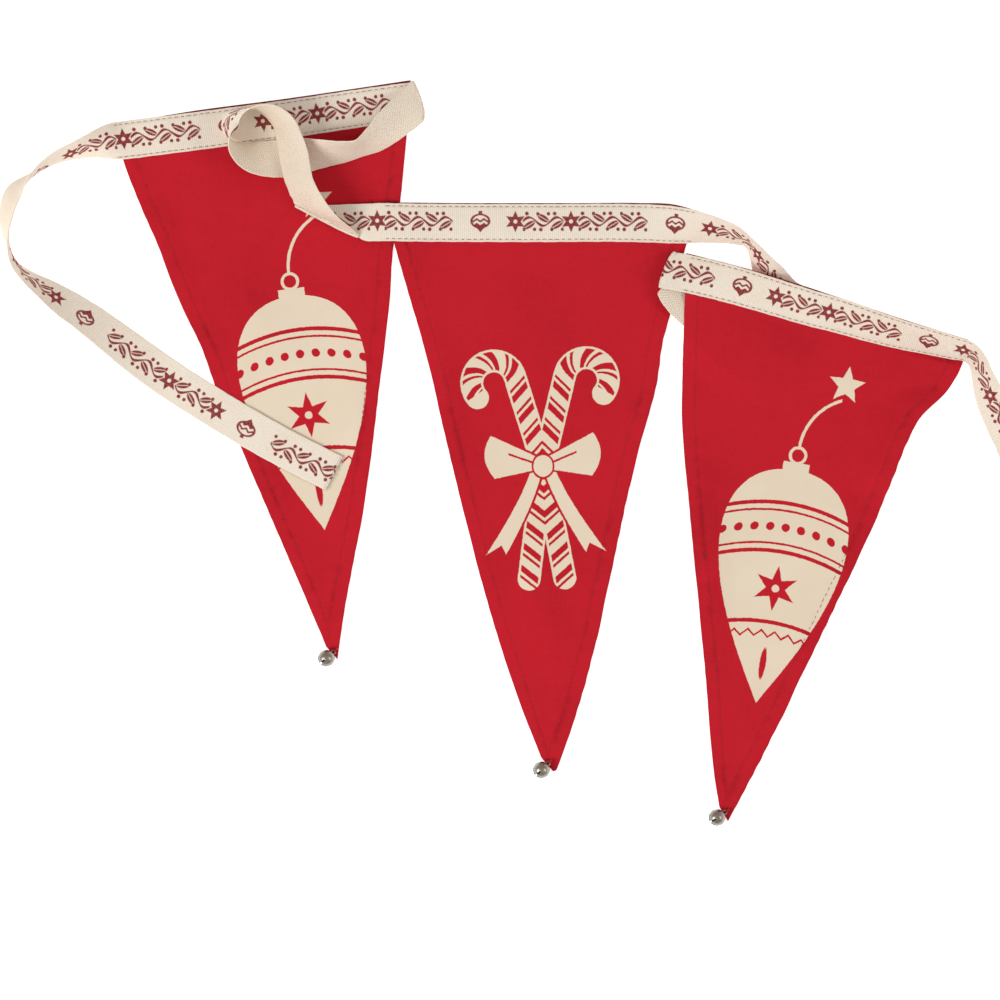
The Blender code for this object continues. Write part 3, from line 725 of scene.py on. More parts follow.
def loft(name, loops, front, back, notes):
    """A closed piece through rows of points that cross its front and come back on its back."""
    rows, around = loops.shape[:2]
    half = around // 2
    faces, sides = [], []
    for i in range(rows - 1):
        for k in range(around):
            n = (k + 1) % around
            a, b = i * around, (i + 1) * around
            faces.append((a + k, b + k, b + n, a + n))
            sides.append(0 if k < half else 1)
    last = (rows - 1) * around
    for k in range(half - 1):
        lid = (k, k + 1, around - 2 - k, around - 1 - k)
        faces.append(lid)
        faces.append(tuple(last + corner for corner in reversed(lid)))
        sides.extend((0, 0))
    mesh = mesh_from(name, loops.reshape(-1, 3), faces)
    mesh.materials.append(front)
    mesh.materials.append(back)
    mesh.polygons.foreach_set("material_index", sides)
    smooth = np.ones(len(faces), dtype=bool)
    smooth[(rows - 1) * around:] = False
    mesh.polygons.foreach_set("use_smooth", smooth)
    for label, (kind, values) in notes.items():
        note(mesh, label, kind, values)
    return piece(name, mesh)


def lengths_along(points):
    """How long the line through some points is at each of them."""
    steps = np.linalg.norm(np.diff(points, axis=0), axis=1)
    return np.concatenate([[0.0], np.cumsum(steps)])


def hermite(values, slopes, along, k, t):
    """The point at a share t of the way from point k to the next, on a smooth curve."""
    span = along[k + 1] - along[k]
    return (
        (2 * t**3 - 3 * t**2 + 1) * values[k]
        + (t**3 - 2 * t**2 + t) * span * slopes[k]
        + (3 * t**2 - 2 * t**3) * values[k + 1]
        + (t**3 - t**2) * span * slopes[k + 1]
    )


def steady_slopes(values, along):
    """Slopes that carry a smooth curve through the values without passing beyond them."""
    slopes = np.gradient(values, along, axis=0)
    secants = np.diff(values, axis=0) / np.diff(along)[:, None]
    before, after = secants[:-1], secants[1:]
    limit = 3 * np.minimum(abs(before), abs(after))
    inner = np.clip(slopes[1:-1], -limit, limit)
    slopes[1:-1] = np.where(before * after > 0, inner, 0.0)
    return slopes


def ease(share):
    """A smooth rise from 0 to 1."""
    share = np.clip(share, 0.0, 1.0)
    return share * share * (3 - 2 * share)


def unit(vector):
    """The vector at length 1."""
    return vector / np.linalg.norm(vector)


def smooth_run(run):
    """Samples a run of stations: one row of x, y, foot, roll and cup for each fine step."""
    values = np.array([station[:5] for station in run], dtype=float)
    along = lengths_along(values[:, :2])
    slopes = np.gradient(values, along, axis=0)
    slopes[:, 2:] = steady_slopes(values[:, 2:], along)
    samples = []
    for k, station in enumerate(run[:-1]):
        length = along[k + 1] - along[k]
        steps = max(station.steps * TAPE_FINENESS, int(length / LONGEST_STEP))
        for step in range(steps):
            samples.append(hermite(values, slopes, along, k, step / steps))
    samples.append(values[-1])
    return np.array(samples)


Place = namedtuple("Place", "middle half forward cup drawn")


def run_places(run):
    """Each fine step's middle, half-width arrow, heading and cup, before any crease.

    Where the tape lies over a pennant it is lowered, as both are thinner than the solids.
    """
    samples = smooth_run(run)
    headings = np.gradient(samples[:, :2], axis=0)
    places = []
    for (x, y, foot, roll, cup), heading in zip(samples, headings):
        forward = unit(np.array([*heading, 0.0]))
        left = np.array([-forward[1], forward[0], 0.0])
        roll = math.radians(roll)
        half = (math.cos(roll) * left + math.sin(roll) * UP) * TAPE_WIDTH / 2
        lowered = foot - 0.4 * ease((foot - 0.6) / 1.4)
        middle = np.array([x, y, lowered + TAPE_WIDTH / 2 * abs(math.sin(roll))])
        places.append(Place(middle, half, forward, math.radians(cup), np.zeros((2, 3))))
    return places


def lean_to_crease(places, crease, at_end):
    """Turns the tape's cross lines, near one end of a run, until they lie along a crease."""
    end = places[-1] if at_end else places[0]
    angle = math.radians(crease.angle)
    target = np.array([math.cos(angle), math.sin(angle), 0.0]) * crease.length / 2
    turn = target * math.copysign(1.0, np.dot(target, end.half)) - end.half
    reach = max(SKEW_REACH * np.linalg.norm(turn), 1.0)
    inward = np.array([-target[1], target[0], 0.0]) / np.linalg.norm(target)
    inward *= math.copysign(1.0, np.dot(inward, end.forward)) * (-1.0 if at_end else 1.0)
    back = np.outer((crease.left, crease.right), inward)
    leaned = []
    for place in places:
        distance = np.linalg.norm(place.middle[:2] - end.middle[:2])
        half = place.half + max(1.0 - distance / reach, 0.0) * turn
        drawn = place.drawn + max(1.0 - distance / ROUNDING_REACH, 0.0) ** 2 * back
        leaned.append(place._replace(half=half, drawn=drawn))
    return leaned


def tape_runs():
    """The tape's fine steps, run by run, leaned to the creases between them."""
    runs = [run_places(run) for run in TAPE_RUNS]
    for index, crease in enumerate(CREASES):
        runs[index] = lean_to_crease(runs[index], crease, at_end=True)
        runs[index + 1] = lean_to_crease(runs[index + 1], crease, at_end=False)
    return runs


def fold(before, after):
    """The steps round a fold: half a turn from one layer of the tape to the next."""
    crease = unit(before.half)
    outward = np.array([-crease[1], crease[0], 0.0])
    if np.dot(outward, before.forward) < 0:
        outward = -outward
    radius = abs(after.middle[2] - before.middle[2]) / 2
    up = math.copysign(1.0, after.middle[2] - before.middle[2])
    steps = []
    for k in range(1, FOLD_PIECES):
        turn = math.pi * k / FOLD_PIECES
        share = (1 - math.cos(turn)) / 2
        middle = before.middle + share * (after.middle - before.middle)
        middle = middle + outward * radius * math.sin(turn)
        forward = outward * math.cos(turn) + UP * up * math.sin(turn)
        half = before.half + share * (after.half - before.half)
        steps.append(Place(middle, half, forward, 0.0, before.drawn))
    return steps


def front_point(place, share, proud):
    """A point a share of the tape's half width across, raised from its middle layer."""
    normal = unit(np.cross(place.forward, place.half))
    bend = share * place.cup / 2
    point = place.middle + share * place.half
    if abs(place.cup) > 1e-4:
        side = math.sin(bend) / (place.cup / 2)
        rise = (math.cos(bend) - math.cos(place.cup / 2)) / (place.cup / 2)
        point = place.middle + place.half * side + normal * np.linalg.norm(place.half) * rise
    facing = normal * math.cos(bend) + unit(place.half) * math.sin(bend)
    return point + facing * proud + abs(share) ** 3 * place.drawn[0 if share > 0 else 1]


def sewn_share(run_index, spot):
    """How surely the tape is sewn to a pennant at a spot on one of its runs."""
    for pennant in PENNANTS:
        if pennant.run == run_index and spot[1] > pennant.above:
            begun = ease((spot[0] - pennant.start) / SEAM_RISE + 0.5)
            return begun * ease((pennant.end - spot[0]) / SEAM_RISE + 0.5)
    return 0.0


def make_tape(runs, front, back):
    """The heading tape, one ribbon from tie end to tie end, with its rounded selvedges.

    Beyond both ends of the table of marks the print goes on at an even pace.
    """
    steps = []
    for index, places in enumerate(runs):
        if index:
            steps.extend((place, 0.0) for place in fold(runs[index - 1][-1], places[0]))
        steps.extend((place, sewn_share(index, place.middle)) for place in places)
    along = lengths_along(np.array([place.middle for place, _ in steps]))
    marks = np.array(PRINT_MARKS)
    before = Mark(marks[0, 0] - 2 * PRINT_REPEAT, marks[0, 1] - 2)
    after = Mark(marks[-1, 0] + 5 * PRINT_REPEAT, marks[-1, 1] + 5)
    marks = np.vstack([before, marks, after])
    loops, flats, sewing = [], [], []
    for (place, sewn), distance in zip(steps, along):
        wave = 1 + 0.006 * math.sin(distance / 1.9 + 1.3) + 0.005 * math.sin(distance / 0.83)
        wide = place._replace(half=place.half * wave)
        skew = np.dot(place.half, place.forward)
        fronts, backs, front_flats = [], [], []
        for share in TAPE_PLACES:
            corner = max((abs(share) - 1 + SELVEDGE) / SELVEDGE, 0.0)
            half = TAPE_THICKNESS / 2 * math.sqrt(1 - 0.93 * corner**2)
            seam = math.exp(-(((abs(share) - SEAM_PLACE) / SEAM_GROOVE) ** 2))
            puff = sewn * (SEAM_PUFF * (1 - share * share) - SEAM_DEPTH * seam)
            fronts.append(front_point(wide, share, half + puff))
            backs.append(front_point(wide, share, -half))
            flat_along = distance + share * skew
            repeats = np.interp(flat_along, marks[:, 0], marks[:, 1])
            front_flats.append((flat_along, share * TAPE_WIDTH / 2, repeats))
        loops.append(fronts + backs[::-1])
        flats.append(front_flats + front_flats[::-1])
        sewing.append([sewn] * (2 * len(TAPE_PLACES)))
    notes = {"flat": ("FLOAT_VECTOR", flats), "sewn": ("FLOAT", sewing)}
    return loft("tape_cloth", np.array(loops), front, back, notes)


def edge_points(points, shares):
    """Points at shares of the length of a smooth line through the points."""
    values = np.array(points, dtype=float)
    along = lengths_along(values)
    slopes = np.gradient(values, along, axis=0)
    found = []
    for distance in np.atleast_1d(shares) * along[-1]:
        k = min(np.searchsorted(along, distance, side="right") - 1, len(points) - 2)
        share = (distance - along[k]) / (along[k + 1] - along[k])
        found.append(hermite(values, slopes, along, k, share))
    return np.array(found)


def puckered(points, along, amplitude, out):
    """A side's points moved in and out a little, as a hem's stitches draw the cloth up."""
    fine = np.sin(along / 1.37 + out) * (0.5 + 0.5 * np.sin(along / 13.1 + 2 * out))
    slow = np.sin(along / 4.9 + 2.1 * out) + 0.8 * np.sin(along / 11.3 + 0.7 * out)
    fade = ease(along / 20) * ease((along[-1] - along) / 8)
    wave = (0.5 * fine + 0.6 * slow * np.sin(along / 31.0 + out)) * amplitude * fade
    return points + out * np.stack([wave, np.zeros_like(along)], axis=1)


def sewn_places(pennant, runs, beyond):
    """The tape's steps along the stretch that is sewn to a pennant, and a little beyond it."""
    start, end = pennant.start - beyond, pennant.end + beyond
    return [
        place for place in runs[pennant.run]
        if start < place.middle[0] < end and place.middle[1] > pennant.above
    ]


def held_height(places, spots):
    """How high the tape's middle layer is over each spot, how much its slope thickens it,
    and how far the spot is from the tape."""
    middles = np.array([place.middle for place in places])
    halves = np.array([place.half for place in places])
    widths = np.linalg.norm(halves[:, :2], axis=1)
    slants = np.linalg.norm(halves, axis=1) / widths
    spread = 12.0
    heights, thickening, gaps = [], [], []
    for spot in spots:
        offsets = spot - middles[:, :2]
        shares = np.clip(np.sum(offsets * halves[:, :2], axis=1) / widths**2, -1.0, 1.0)
        apart = np.linalg.norm(offsets - shares[:, None] * halves[:, :2], axis=1)
        near = np.min(apart)
        weights = np.exp(-np.minimum((apart**2 - near**2) / spread, 60.0))
        weights /= weights.sum()
        heights.append(np.sum(weights * (middles[:, 2] + shares * halves[:, 2])))
        thickening.append(np.sum(weights * slants))
        gaps.append(near)
    return np.array(heights), np.array(thickening), np.array(gaps)


def lifted(lifts, spots):
    """How far the cloth's underside is off the surface at each spot."""
    height = np.zeros(len(spots))
    for lift in lifts:
        start = np.array([lift.x0, lift.y0], dtype=float)
        run = np.array([lift.x1 - lift.x0, lift.y1 - lift.y0], dtype=float)
        share = np.clip((spots - start) @ run / np.dot(run, run), 0.0, 1.0)
        distance = np.linalg.norm(spots - start - share[:, None] * run, axis=1)
        height = np.maximum(height, lift.height * ease(1.0 - (distance - lift.flat) / lift.fade))
    return height


def rippled(spots):
    """Slow unevenness of cloth that was folded and then laid flat."""
    x, y = spots[:, 0], spots[:, 1]
    slow = np.sin(x / 13.0 + 1.7 * np.sin(y / 31.0)) * np.sin(y / 19.0 + 0.6 * np.sin(x / 17.0))
    fine = np.sin(x / 5.1 + y / 8.3) * np.sin(y / 6.7 - x / 11.9)
    crease = np.exp(-(((y - 57.0 - 0.06 * x) / 2.2) ** 2))
    return 0.12 + 0.1 * slow + 0.035 * fine + 0.1 * crease


def hem_columns(width):
    """Distances from the left edge at which a row of the pennant has its points."""
    steps = np.array(HEM_STEPS) * min(1.0, 0.47 * width / HEM_STEPS[-1])
    field = np.linspace(steps[-1], width - steps[-1], FIELD_COLUMNS + 2)[1:-1]
    return np.concatenate([steps, field, (width - steps)[::-1]])


def make_pennant(pennant, runs, front, back):
    """One pennant, its sides turned under and its top held up by the tape."""
    shares = (np.arange(PENNANT_ROWS + 1) / PENNANT_ROWS) ** ROW_CROWDING
    left = edge_points(pennant.left, shares)
    right = edge_points(pennant.right, shares)
    down = lengths_along(left)
    left = puckered(left, down, pennant.waves[0], -1.0)
    right = puckered(right, down, pennant.waves[1], 1.0)
    rows, edges = [], []
    for v, west, east in zip(shares, left, right):
        width = np.linalg.norm(east - west)
        steps = hem_columns(width)
        u = (steps / width)[:, None]
        top = edge_points(pennant.top, u[:, 0])
        straight = (1 - u) * left[0] + u * right[0]
        rows.append((1 - u) * west + u * east + (1 - v) ** 1.5 * (top - straight))
        edges.append(np.minimum(steps, width - steps))
    count = len(rows[0])
    spots, edge = np.concatenate(rows), np.concatenate(edges)
    at_hem = 1 - ease((edge - HEM_WIDTH + 0.7) / 1.4)
    thickness = CLOTH_THICKNESS + HEM_EXTRA * at_hem
    beside_hem = (1 - at_hem) * ease(1 - (edge - HEM_WIDTH) / 7)
    underside = lifted(LIFTS[pennant.name], spots) + rippled(spots) + HEM_RISE * beside_hem
    height, slant, gap = held_height(sewn_places(pennant, runs, 2.0), spots)
    held = height - (TAPE_THICKNESS / 2 + SEAM_GAP + thickness) * slant
    share = ease(1 - gap / SEAM_FADE)
    inside = ease(1 - (gap - 1.5) / 2)
    underside = np.where(inside > 0.99, held, np.maximum(underside, held * share))
    underside = np.maximum(underside, CLEARANCE)
    rounding = np.sqrt(1 - (1 - np.clip(edge / EDGE_ROUNDING, 0, 1)) ** 2)
    middle = underside + thickness / 2
    half = thickness / 2 * (EDGE_SHARE + (1 - EDGE_SHARE) * rounding)
    grid = (PENNANT_ROWS + 1, count)
    spots = spots.reshape(*grid, 2)
    fronts = np.dstack([spots, (middle + half).reshape(grid)])
    backs = np.dstack([spots, (middle - half).reshape(grid)])
    loops = np.concatenate([fronts, backs[:, ::-1]], axis=1)
    edge = edge.reshape(grid)
    around = np.concatenate([edge, edge[:, ::-1]], axis=1)
    top = np.repeat(down[:, None], 2 * count, axis=1)
    notes = {"edge": ("FLOAT", around), "top": ("FLOAT", top)}
    cloth = loft(f"{pennant.name}_cloth", loops, front, back, notes)
    return cloth, fronts, backs, edge


def hem_lines(fronts, backs, edge):
    """Lines for the stitches of both hems, on the front and on the back."""
    lines = []
    for sheet, proud in ((fronts, 0.05), (backs, 0.1)):
        for step in (1, -1):
            line = []
            for row, way in zip(sheet[HEM_START:, ::step], edge[HEM_START:, ::step]):
                half = len(way) // 2
                if way[:half].max() < HEM_SEAM_ROOM:
                    break
                point = [np.interp(HEM_SEAM, way[:half], row[:half, k]) for k in range(3)]
                line.append(point + proud * UP)
            lines.append(line)
    return lines


def seam_lines(runs):
    """Lines for the two rows of stitches along each sewn stretch of the tape, on its front."""
    lines = []
    for pennant in PENNANTS:
        places = sewn_places(pennant, runs, -1.0)
        for share in (-SEAM_PLACE, SEAM_PLACE):
            lines.append([front_point(place, share, SEAM_HEIGHT) for place in places])
    return lines


def stitch_tree():
    """Geometry nodes that lay one stitch of thread at each step of the pitch along a line."""
    tree = bpy.data.node_groups.new("stitches_along_a_line", "GeometryNodeTree")
    inputs = {"Lines": "Geometry", "Pitch": "Float", "Stitch": "Float", "Thread": "Float"}
    inputs.update({"Wander": "Float", "Seed": "Int", "Finish": "Material"})
    for name, kind in inputs.items():
        tree.interface.new_socket(name, in_out="INPUT", socket_type=f"NodeSocket{kind}")
    tree.interface.new_socket("Stitches", in_out="OUTPUT", socket_type="NodeSocketGeometry")

    def add(kind, settings, sockets, output=0):
        node = tree.nodes.new(kind)
        for name, value in settings.items():
            setattr(node, name, value)
        for name, value in sockets.items():
            if isinstance(value, bpy.types.NodeSocket):
                tree.links.new(value, node.inputs[name])
            else:
                node.inputs[name].default_value = value
        return node.outputs[output]

    entry = tree.nodes.new("NodeGroupInput").outputs
    line = add("GeometryNodeMeshToCurve", {}, {"Mesh": entry["Lines"]})
    spacing = {"Curve": line, "Length": entry["Pitch"]}
    even = add("GeometryNodeResampleCurve", {"mode": "LENGTH"}, spacing)
    aside = add(
        "FunctionNodeRandomValue", {"data_type": "FLOAT_VECTOR"},
        {"Min": (-1, -1, -0.2), "Max": (1, 1, 0.2), "Seed": entry["Seed"]},
    )
    amount = {0: aside, "Scale": entry["Wander"]}
    drift = add("ShaderNodeVectorMath", {"operation": "SCALE"}, amount)
    set_off = add("GeometryNodeSetPosition", {}, {"Geometry": even, "Offset": drift})
    heading = add("GeometryNodeInputTangent", {}, {})
    turn = add("FunctionNodeAlignRotationToVector", {"axis": "X"}, {"Vector": heading})
    vary = add(
        "FunctionNodeRandomValue", {"data_type": "FLOAT"},
        {2: 0.55, 3: 1.1, "Seed": entry["Seed"]}, output=1,
    )
    length = add("ShaderNodeMath", {"operation": "MULTIPLY"}, {0: entry["Stitch"], 1: vary})
    sides = {"X": length, "Y": entry["Thread"], "Z": entry["Thread"]}
    size = add("ShaderNodeCombineXYZ", {}, sides)
    one = add("GeometryNodeMeshUVSphere", {}, {"Segments": 6, "Rings": 7, "Radius": 0.5})
    laid = add(
        "GeometryNodeInstanceOnPoints", {},
        {"Points": set_off, "Instance": one, "Rotation": turn, "Scale": size},
    )
    real = add("GeometryNodeRealizeInstances", {}, {"Geometry": laid})
    done = add("GeometryNodeSetMaterial", {}, {"Geometry": real, "Material": entry["Finish"]})
    tree.links.new(done, tree.nodes.new("NodeGroupOutput").inputs["Stitches"])
    return tree


def sew(name, lines, tree, wander, seed, finish):
    """Stitches along lines, as one plain mesh."""
    points, edges = [], []
    for line in lines:
        first = len(points)
        points.extend(line)
        edges.extend((k, k + 1) for k in range(first, len(points) - 1))
    drawn = piece(f"{name}_lines", mesh_from(f"{name}_lines", points, [], edges))
    modifier = drawn.modifiers.new("Stitches", "NODES")
    modifier.node_group = tree
    inputs = {"Pitch": PITCH * MM, "Stitch": STITCH * MM, "Thread": THREAD * MM}
    inputs.update({"Wander": wander * MM, "Seed": seed, "Finish": finish})
    for socket in tree.interface.items_tree:
        if socket.in_out == "INPUT" and socket.name in inputs:
            modifier[socket.identifier] = inputs[socket.name]
    graph = bpy.context.evaluated_depsgraph_get()
    laid = bpy.data.meshes.new_from_object(drawn.evaluated_get(graph))
    laid.name = name
    bpy.data.objects.remove(drawn)
    laid.shade_smooth()
    return piece(name, laid)


def tube(points, radius, sides, closed=False):
    """The points and faces of a round thread or wire along a line."""
    points = np.array(points, dtype=float)
    count = len(points)
    if closed:
        headings = np.roll(points, -1, axis=0) - np.roll(points, 1, axis=0)
    else:
        headings = np.gradient(points, axis=0)
    across = unit(np.cross(headings[0], [0.31, 0.53, 0.79]))
    rings = []
    for point, heading in zip(points, headings):
        forward = unit(heading)
        across = unit(across - np.dot(across, forward) * forward)
        third = np.cross(forward, across)
        for k in range(sides):
            turn = math.tau * k / sides
            rings.append(point + radius * (math.cos(turn) * across + math.sin(turn) * third))
    faces = []
    for i in range(count if closed else count - 1):
        j = (i + 1) % count
        for k in range(sides):
            n = (k + 1) % sides
            faces.append((i * sides + k, i * sides + n, j * sides + n, j * sides + k))
    if not closed:
        faces.append(tuple(range(sides))[::-1])
        faces.append(tuple((count - 1) * sides + k for k in range(sides)))
    return rings, faces


def threads(name, tubes, finish):
    """One piece of several short threads."""
    points, faces = [], []
    for rings, sides in tubes:
        first = len(points)
        points.extend(rings)
        faces.extend(tuple(first + corner for corner in side) for side in sides)
    mesh = mesh_from(name, points, faces)
    mesh.materials.append(finish)
    mesh.shade_smooth()
    return piece(name, mesh)


def fray(name, place, back_along, finish, seed):
    """Loose yarn ends along a cut end of the tape."""
    chance = random.Random(seed)
    tubes = []
    outward = place.forward * (-1.0 if back_along else 1.0)
    for k in range(FRAY_YARNS):
        share = -0.97 + 1.94 * (k + chance.random() * 0.8) / FRAY_YARNS
        start = front_point(place, share, chance.uniform(-0.25, 0.3)) - outward * 0.5
        length = chance.uniform(0.5, 1.5) * (1.6 if chance.random() < 0.12 else 1.0)
        side = unit(place.half) * chance.uniform(-0.45, 0.45)
        droop = UP * chance.uniform(-0.15, 0.12)
        line = [
            start + outward * (0.5 + length) * t + (side + droop) * length * t * t
            for t in (0, 0.35, 0.7, 1.0)
        ]
        tubes.append(tube(line, 0.085, 5))
    return threads(name, tubes, finish)


def bell_frame(pennant, name):
    """Where a bell is and how it is turned: its own +Z points out of the slotted end."""
    heading = math.radians(BELL_HEADINGS[name])
    tilt = Matrix.Rotation(heading, 4, "Z") @ Matrix.Rotation(math.radians(BELL_TILT), 4, "Y")
    height = BELL_DIAMETER / 2 + BELL_LIFT
    return Matrix.Translation(Vector((pennant.bell.x, pennant.bell.y, height)) * MM) @ tilt


def turned(profile, segments):
    """A closed round mesh from points of radius and height, first and last on the axis."""
    points = [(0.0, 0.0, profile[0][1])]
    for radius, height in profile[1:-1]:
        for k in range(segments):
            turn = math.tau * k / segments
            points.append((radius * math.cos(turn), radius * math.sin(turn), height))
    points.append((0.0, 0.0, profile[-1][1]))
    faces = []
    last = len(points) - 1
    rings = len(profile) - 2
    for k in range(segments):
        n = (k + 1) % segments
        faces.append((0, 1 + k, 1 + n))
        for i in range(rings - 1):
            a, b = 1 + i * segments, 1 + (i + 1) * segments
            faces.append((a + k, b + k, b + n, a + n))
        faces.append((last - segments + k, last, last - segments + n))
    return mesh_from("turned", points, faces)


def ball_profile(radius, rings, ridge=0.0):
    """Radius and height down a ball from its top, with a ridge round its middle."""
    profile = []
    for k in range(rings + 1):
        angle = math.pi * k / rings
        out = radius + ridge * math.exp(-(((angle - math.pi / 2) / 0.075) ** 2))
        profile.append((out * math.sin(angle), out * math.cos(angle)))
    return profile


def carve(body, tool, operation="DIFFERENCE"):
    """Cuts a tool from a body, or joins it, and takes the tool away."""
    boolean = body.modifiers.new("Carve", "BOOLEAN")
    boolean.operation = operation
    boolean.object = tool
    boolean.solver = "EXACT"
    graph = bpy.context.evaluated_depsgraph_get()
    carved = bpy.data.meshes.new_from_object(body.evaluated_get(graph))
    body.modifiers.clear()
    body.data = carved
    bpy.data.objects.remove(tool)


def slot_tool(turn):
    """One arm of the bell's crossed slot, with a round hole at each of its ends."""
    radius, reach, steps = BELL_DIAMETER / 2, math.radians(SLOT_REACH), 24
    turned_to = Matrix.Rotation(turn, 3, "Z")
    points, faces = [], []
    for k in range(steps + 1):
        angle = -reach + 2 * reach * k / steps
        wide = SLOT_HALF + SLOT_HOLE * math.exp(-(((abs(angle) - reach) / 0.09) ** 2))
        for depth in (radius - 1.6, radius + 0.9):
            for side in (-wide, wide):
                corner = Vector((math.sin(angle) * depth, side, math.cos(angle) * depth))
                points.append(turned_to @ corner * MM)
    for a in range(0, 4 * steps, 4):
        b = a + 4
        faces += [(a, a + 1, b + 1, b), (a + 3, a + 2, b + 2, b + 3)]
        faces += [(a + 2, a, b, b + 2), (a + 1, a + 3, b + 3, b + 1)]
    faces += [(2, 3, 1, 0), (b, b + 1, b + 3, b + 2)]
    mesh = bpy.data.meshes.new("slot")
    mesh.from_pydata([tuple(point) for point in points], [], faces)
    return piece("slot", mesh)


def ring_points(centre, radius, normal, count):
    """Points round a ring."""
    normal = unit(np.array(normal, dtype=float))
    across = unit(np.cross(normal, [0.2, 0.9, 0.35]))
    third = np.cross(normal, across)
    turns = math.tau * np.arange(count) / count
    ring = np.outer(np.cos(turns), across) + np.outer(np.sin(turns), third)
    return np.array(centre) + radius * ring


def make_bell(name, pennant, plate, bare):
    """A pressed bell: two cups crimped together, a crossed slot, a wire loop and its pea.

    Its faces nearer to the middle than a little under the radius have the inside's finish.
    """
    radius = BELL_DIAMETER / 2
    bell = piece(f"{name}_metal", turned(ball_profile(radius - BELL_SHELL, 30, CRIMP), 48))
    carve(bell, piece("hollow", turned(ball_profile(radius - BELL_WALL, 18), 32)))
    for turn in (0.0, math.pi / 2):
        carve(bell, slot_tool(turn))
    loop = ring_points((0, 0, -radius - LOOP_GAP), LOOP_RADIUS, (1, 0, 0), 24)
    rings, faces = tube(loop, LOOP_WIRE, 10, closed=True)
    carve(bell, piece("wire", mesh_from("wire", rings, faces)), "UNION")
    place = bell_frame(pennant, name)
    bell.data.transform(place)
    pea = piece("pea", turned(ball_profile(PEA_RADIUS, 12), 18))
    drop = Vector((0, 0, -(radius - BELL_WALL - PEA_RADIUS - 0.05) * MM))
    pea.data.transform(Matrix.Translation(place.translation + drop))
    with bpy.context.temp_override(active_object=bell, selected_editable_objects=[bell, pea]):
        bpy.ops.object.join()
    bell.data.materials.clear()
    bell.data.materials.append(plate)
    bell.data.materials.append(bare)
    inner = (radius - 0.3) * MM
    depths = [(face.center - place.translation).length for face in bell.data.polygons]
    bell.data.shade_smooth()
    bell.data.polygons.foreach_set("material_index", [int(depth < inner) for depth in depths])
    bell.data.set_sharp_from_angle(angle=math.radians(40))
    return bell


def bell_thread(name, pennant, finish):
    """A few turns of thread that hold a bell's loop to the folded tip of its pennant."""
    place = bell_frame(pennant, name)
    loop = np.array(place @ Vector((0, 0, -(BELL_DIAMETER / 2 + 1.1) * MM))) / MM
    away = unit(np.array(place.to_3x3() @ Vector((0, 0, -1))))
    sideways = unit(np.cross(away, [0, 0, 1.0]))
    tubes = []
    turns = ((-0.5, 1.25), (-0.15, 1.45), (0.2, 1.35), (0.5, 1.5), (0.05, 1.15))
    for k, (lean, size) in enumerate(turns):
        normal = sideways + lean * away + UP * 0.15 * (k - 2)
        centre = loop + away * (0.55 + 0.1 * k) + sideways * 0.22 * (k - 2)
        line = ring_points(centre, size, normal, 20)
        line[:, 2] = np.maximum(line[:, 2], 0.3)
        tubes.append(tube(line, BELL_THREAD, 6, closed=True))
    return threads(f"{name}_thread", tubes, finish)


# The bunting ---------------------------------------------------------------------------


def dress():
    """Builds every piece of the bunting over its solids."""
    runs = tape_runs()
    back_of_cloth = plain_cloth()
    seam_finish = thread("seam_thread", SEAM_THREAD, SEAM_THREAD_SHADE)
    hem_finish = thread("hem_thread", HEM_THREAD, HEM_THREAD_SHADE)
    yarn_finish = thread("loose_yarn", TAPE_CREAM, TAPE_CREAM_DULL)
    plate = bell_metal("nickel_plate", NICKEL, NICKEL_SHADE, 0.34)
    # The bell's inside gets a darker, rougher metal than its plate.
    bare = bell_metal("bell_inside", BELL_INSIDE, BELL_INSIDE_SHADE, 0.6)
    tree = stitch_tree()

    tape = make_tape(runs, printed_tape(), tape_back())
    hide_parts("tape")
    seams = sew("tape_stitches", seam_lines(runs), tree, SEAM_WANDER, 3, seam_finish)
    left_fray = fray("left_tie_end_yarn", runs[0][0], True, yarn_finish, 11)
    right_fray = fray("right_tie_end_yarn", runs[-1][-1], False, yarn_finish, 12)
    pieces = [tape, seams, left_fray, right_fray]

    pictures = {"pennant_1": ornament, "pennant_2": canes, "pennant_3": ornament}
    for number, (pennant, bell_name) in enumerate(zip(PENNANTS, BELL_HEADINGS)):
        front = printed_cloth(pennant.name, PRINTS[pennant.name], pictures[pennant.name])
        cloth, fronts, backs, edge = make_pennant(pennant, runs, front, back_of_cloth)
        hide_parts(pennant.name)
        lines = hem_lines(fronts, backs, edge)
        hem_name = f"{pennant.name}_hem_stitches"
        hems = sew(hem_name, lines, tree, HEM_WANDER, 20 + number, hem_finish)
        bell = make_bell(bell_name, pennant, plate, bare)
        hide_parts(bell_name)
        turns = bell_thread(bell_name, pennant, hem_finish)
        pieces += [cloth, hems, bell, turns]
    for item in pieces:
        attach(item, "root")


# The studio ----------------------------------------------------------------------------

TABLE_REACH = 3000.0

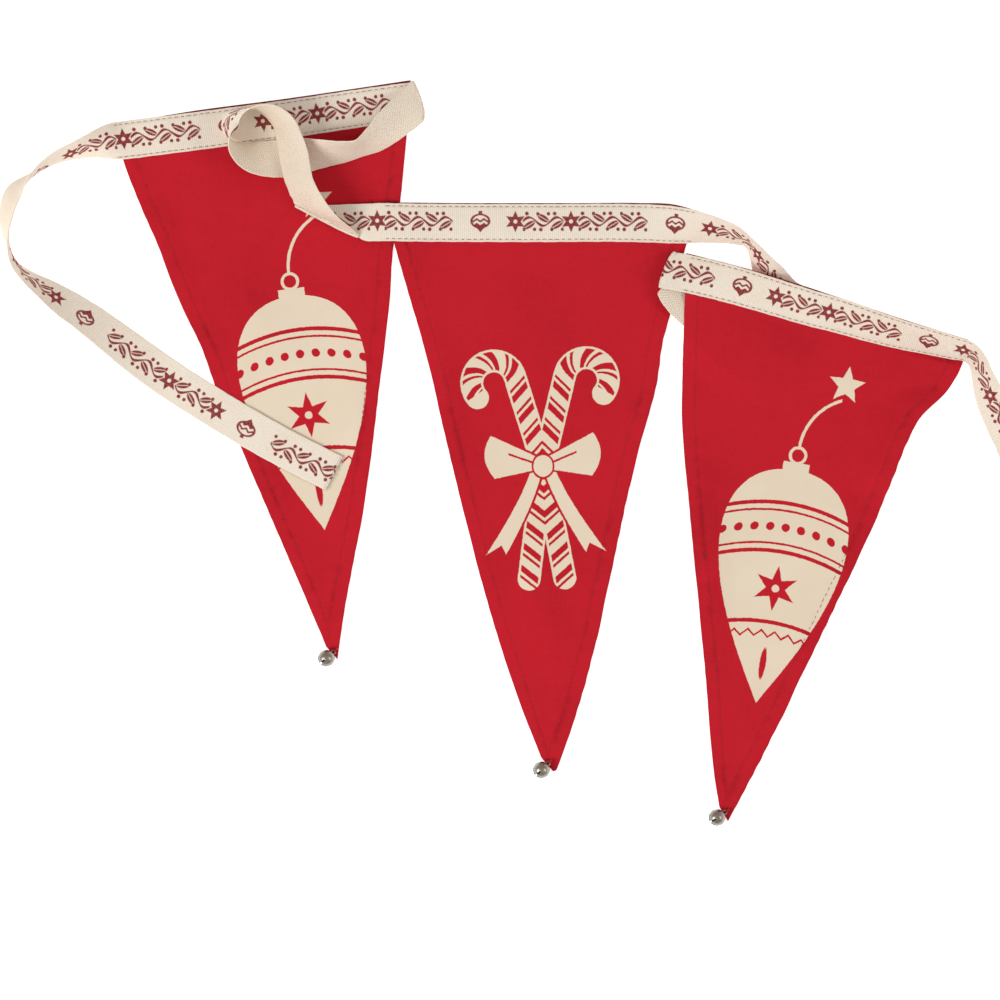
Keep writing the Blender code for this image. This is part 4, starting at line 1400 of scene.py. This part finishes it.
# Metres, apart from the sensor, which is in millimetres as Blender has it.
SENSOR_WIDTH = 36.0
CAMERA_HEIGHT = 3.0
CAMERA_ASIDE = -0.020
VIEW_WIDTH = 0.5
SOFTBOX_SIZE = 0.8


def table_top():
    """A plain white surface under the bunting."""
    signs = ((-1, -1), (1, -1), (1, 1), (-1, 1))
    corners = [(x * TABLE_REACH, y * TABLE_REACH, 0) for x, y in signs]
    mesh = mesh_from("table_top", corners, [(0, 1, 2, 3)])
    top = piece("table_top", mesh)
    finish = Finish("white_table", 0.95)
    grain = finish.noise(finish.spot(), 60.0)
    white = finish.mix(grain, TABLE_WHITE, TABLE_GRAIN)
    finish.join(finish.shader.inputs["Base Color"], white)
    finish.shader.inputs["Emission Color"].default_value = (1, 1, 1, 1)
    finish.shader.inputs["Emission Strength"].default_value = 0.62
    mesh.materials.append(finish.material)


def softbox(name, place, power):
    """A square soft light that points at the middle of the bunting."""
    light = bpy.data.lights.new(name, "AREA")
    light.shape = "SQUARE"
    light.size = SOFTBOX_SIZE
    light.energy = power
    item = piece(name, light)
    item.location = place
    item.rotation_euler = (-Vector(place)).to_track_quat("-Z", "Y").to_euler()


def studio():
    """The lights, the surroundings and the camera, which looks straight down."""
    table_top()
    softbox("left_softbox", (-1.3, -0.5, 1.3), 20.0)
    softbox("right_softbox", (1.4, -0.2, 1.2), 9.5)
    world = bpy.data.worlds.new("studio")
    bpy.context.scene.world = world
    world.use_nodes = True
    background = world.node_tree.nodes["Background"]
    background.inputs["Color"].default_value = (1.0, 1.0, 1.0, 1.0)
    background.inputs["Strength"].default_value = 0.5
    bpy.context.scene.view_settings.view_transform = "Standard"
    lens = bpy.data.cameras.new("camera")
    lens.sensor_width = SENSOR_WIDTH
    lens.lens = SENSOR_WIDTH * CAMERA_HEIGHT / VIEW_WIDTH
    lens.clip_end = 20.0
    camera = piece("camera", lens)
    camera.location = (CAMERA_ASIDE, 0.0, CAMERA_HEIGHT)
    bpy.context.scene.camera = camera


dress()
studio()
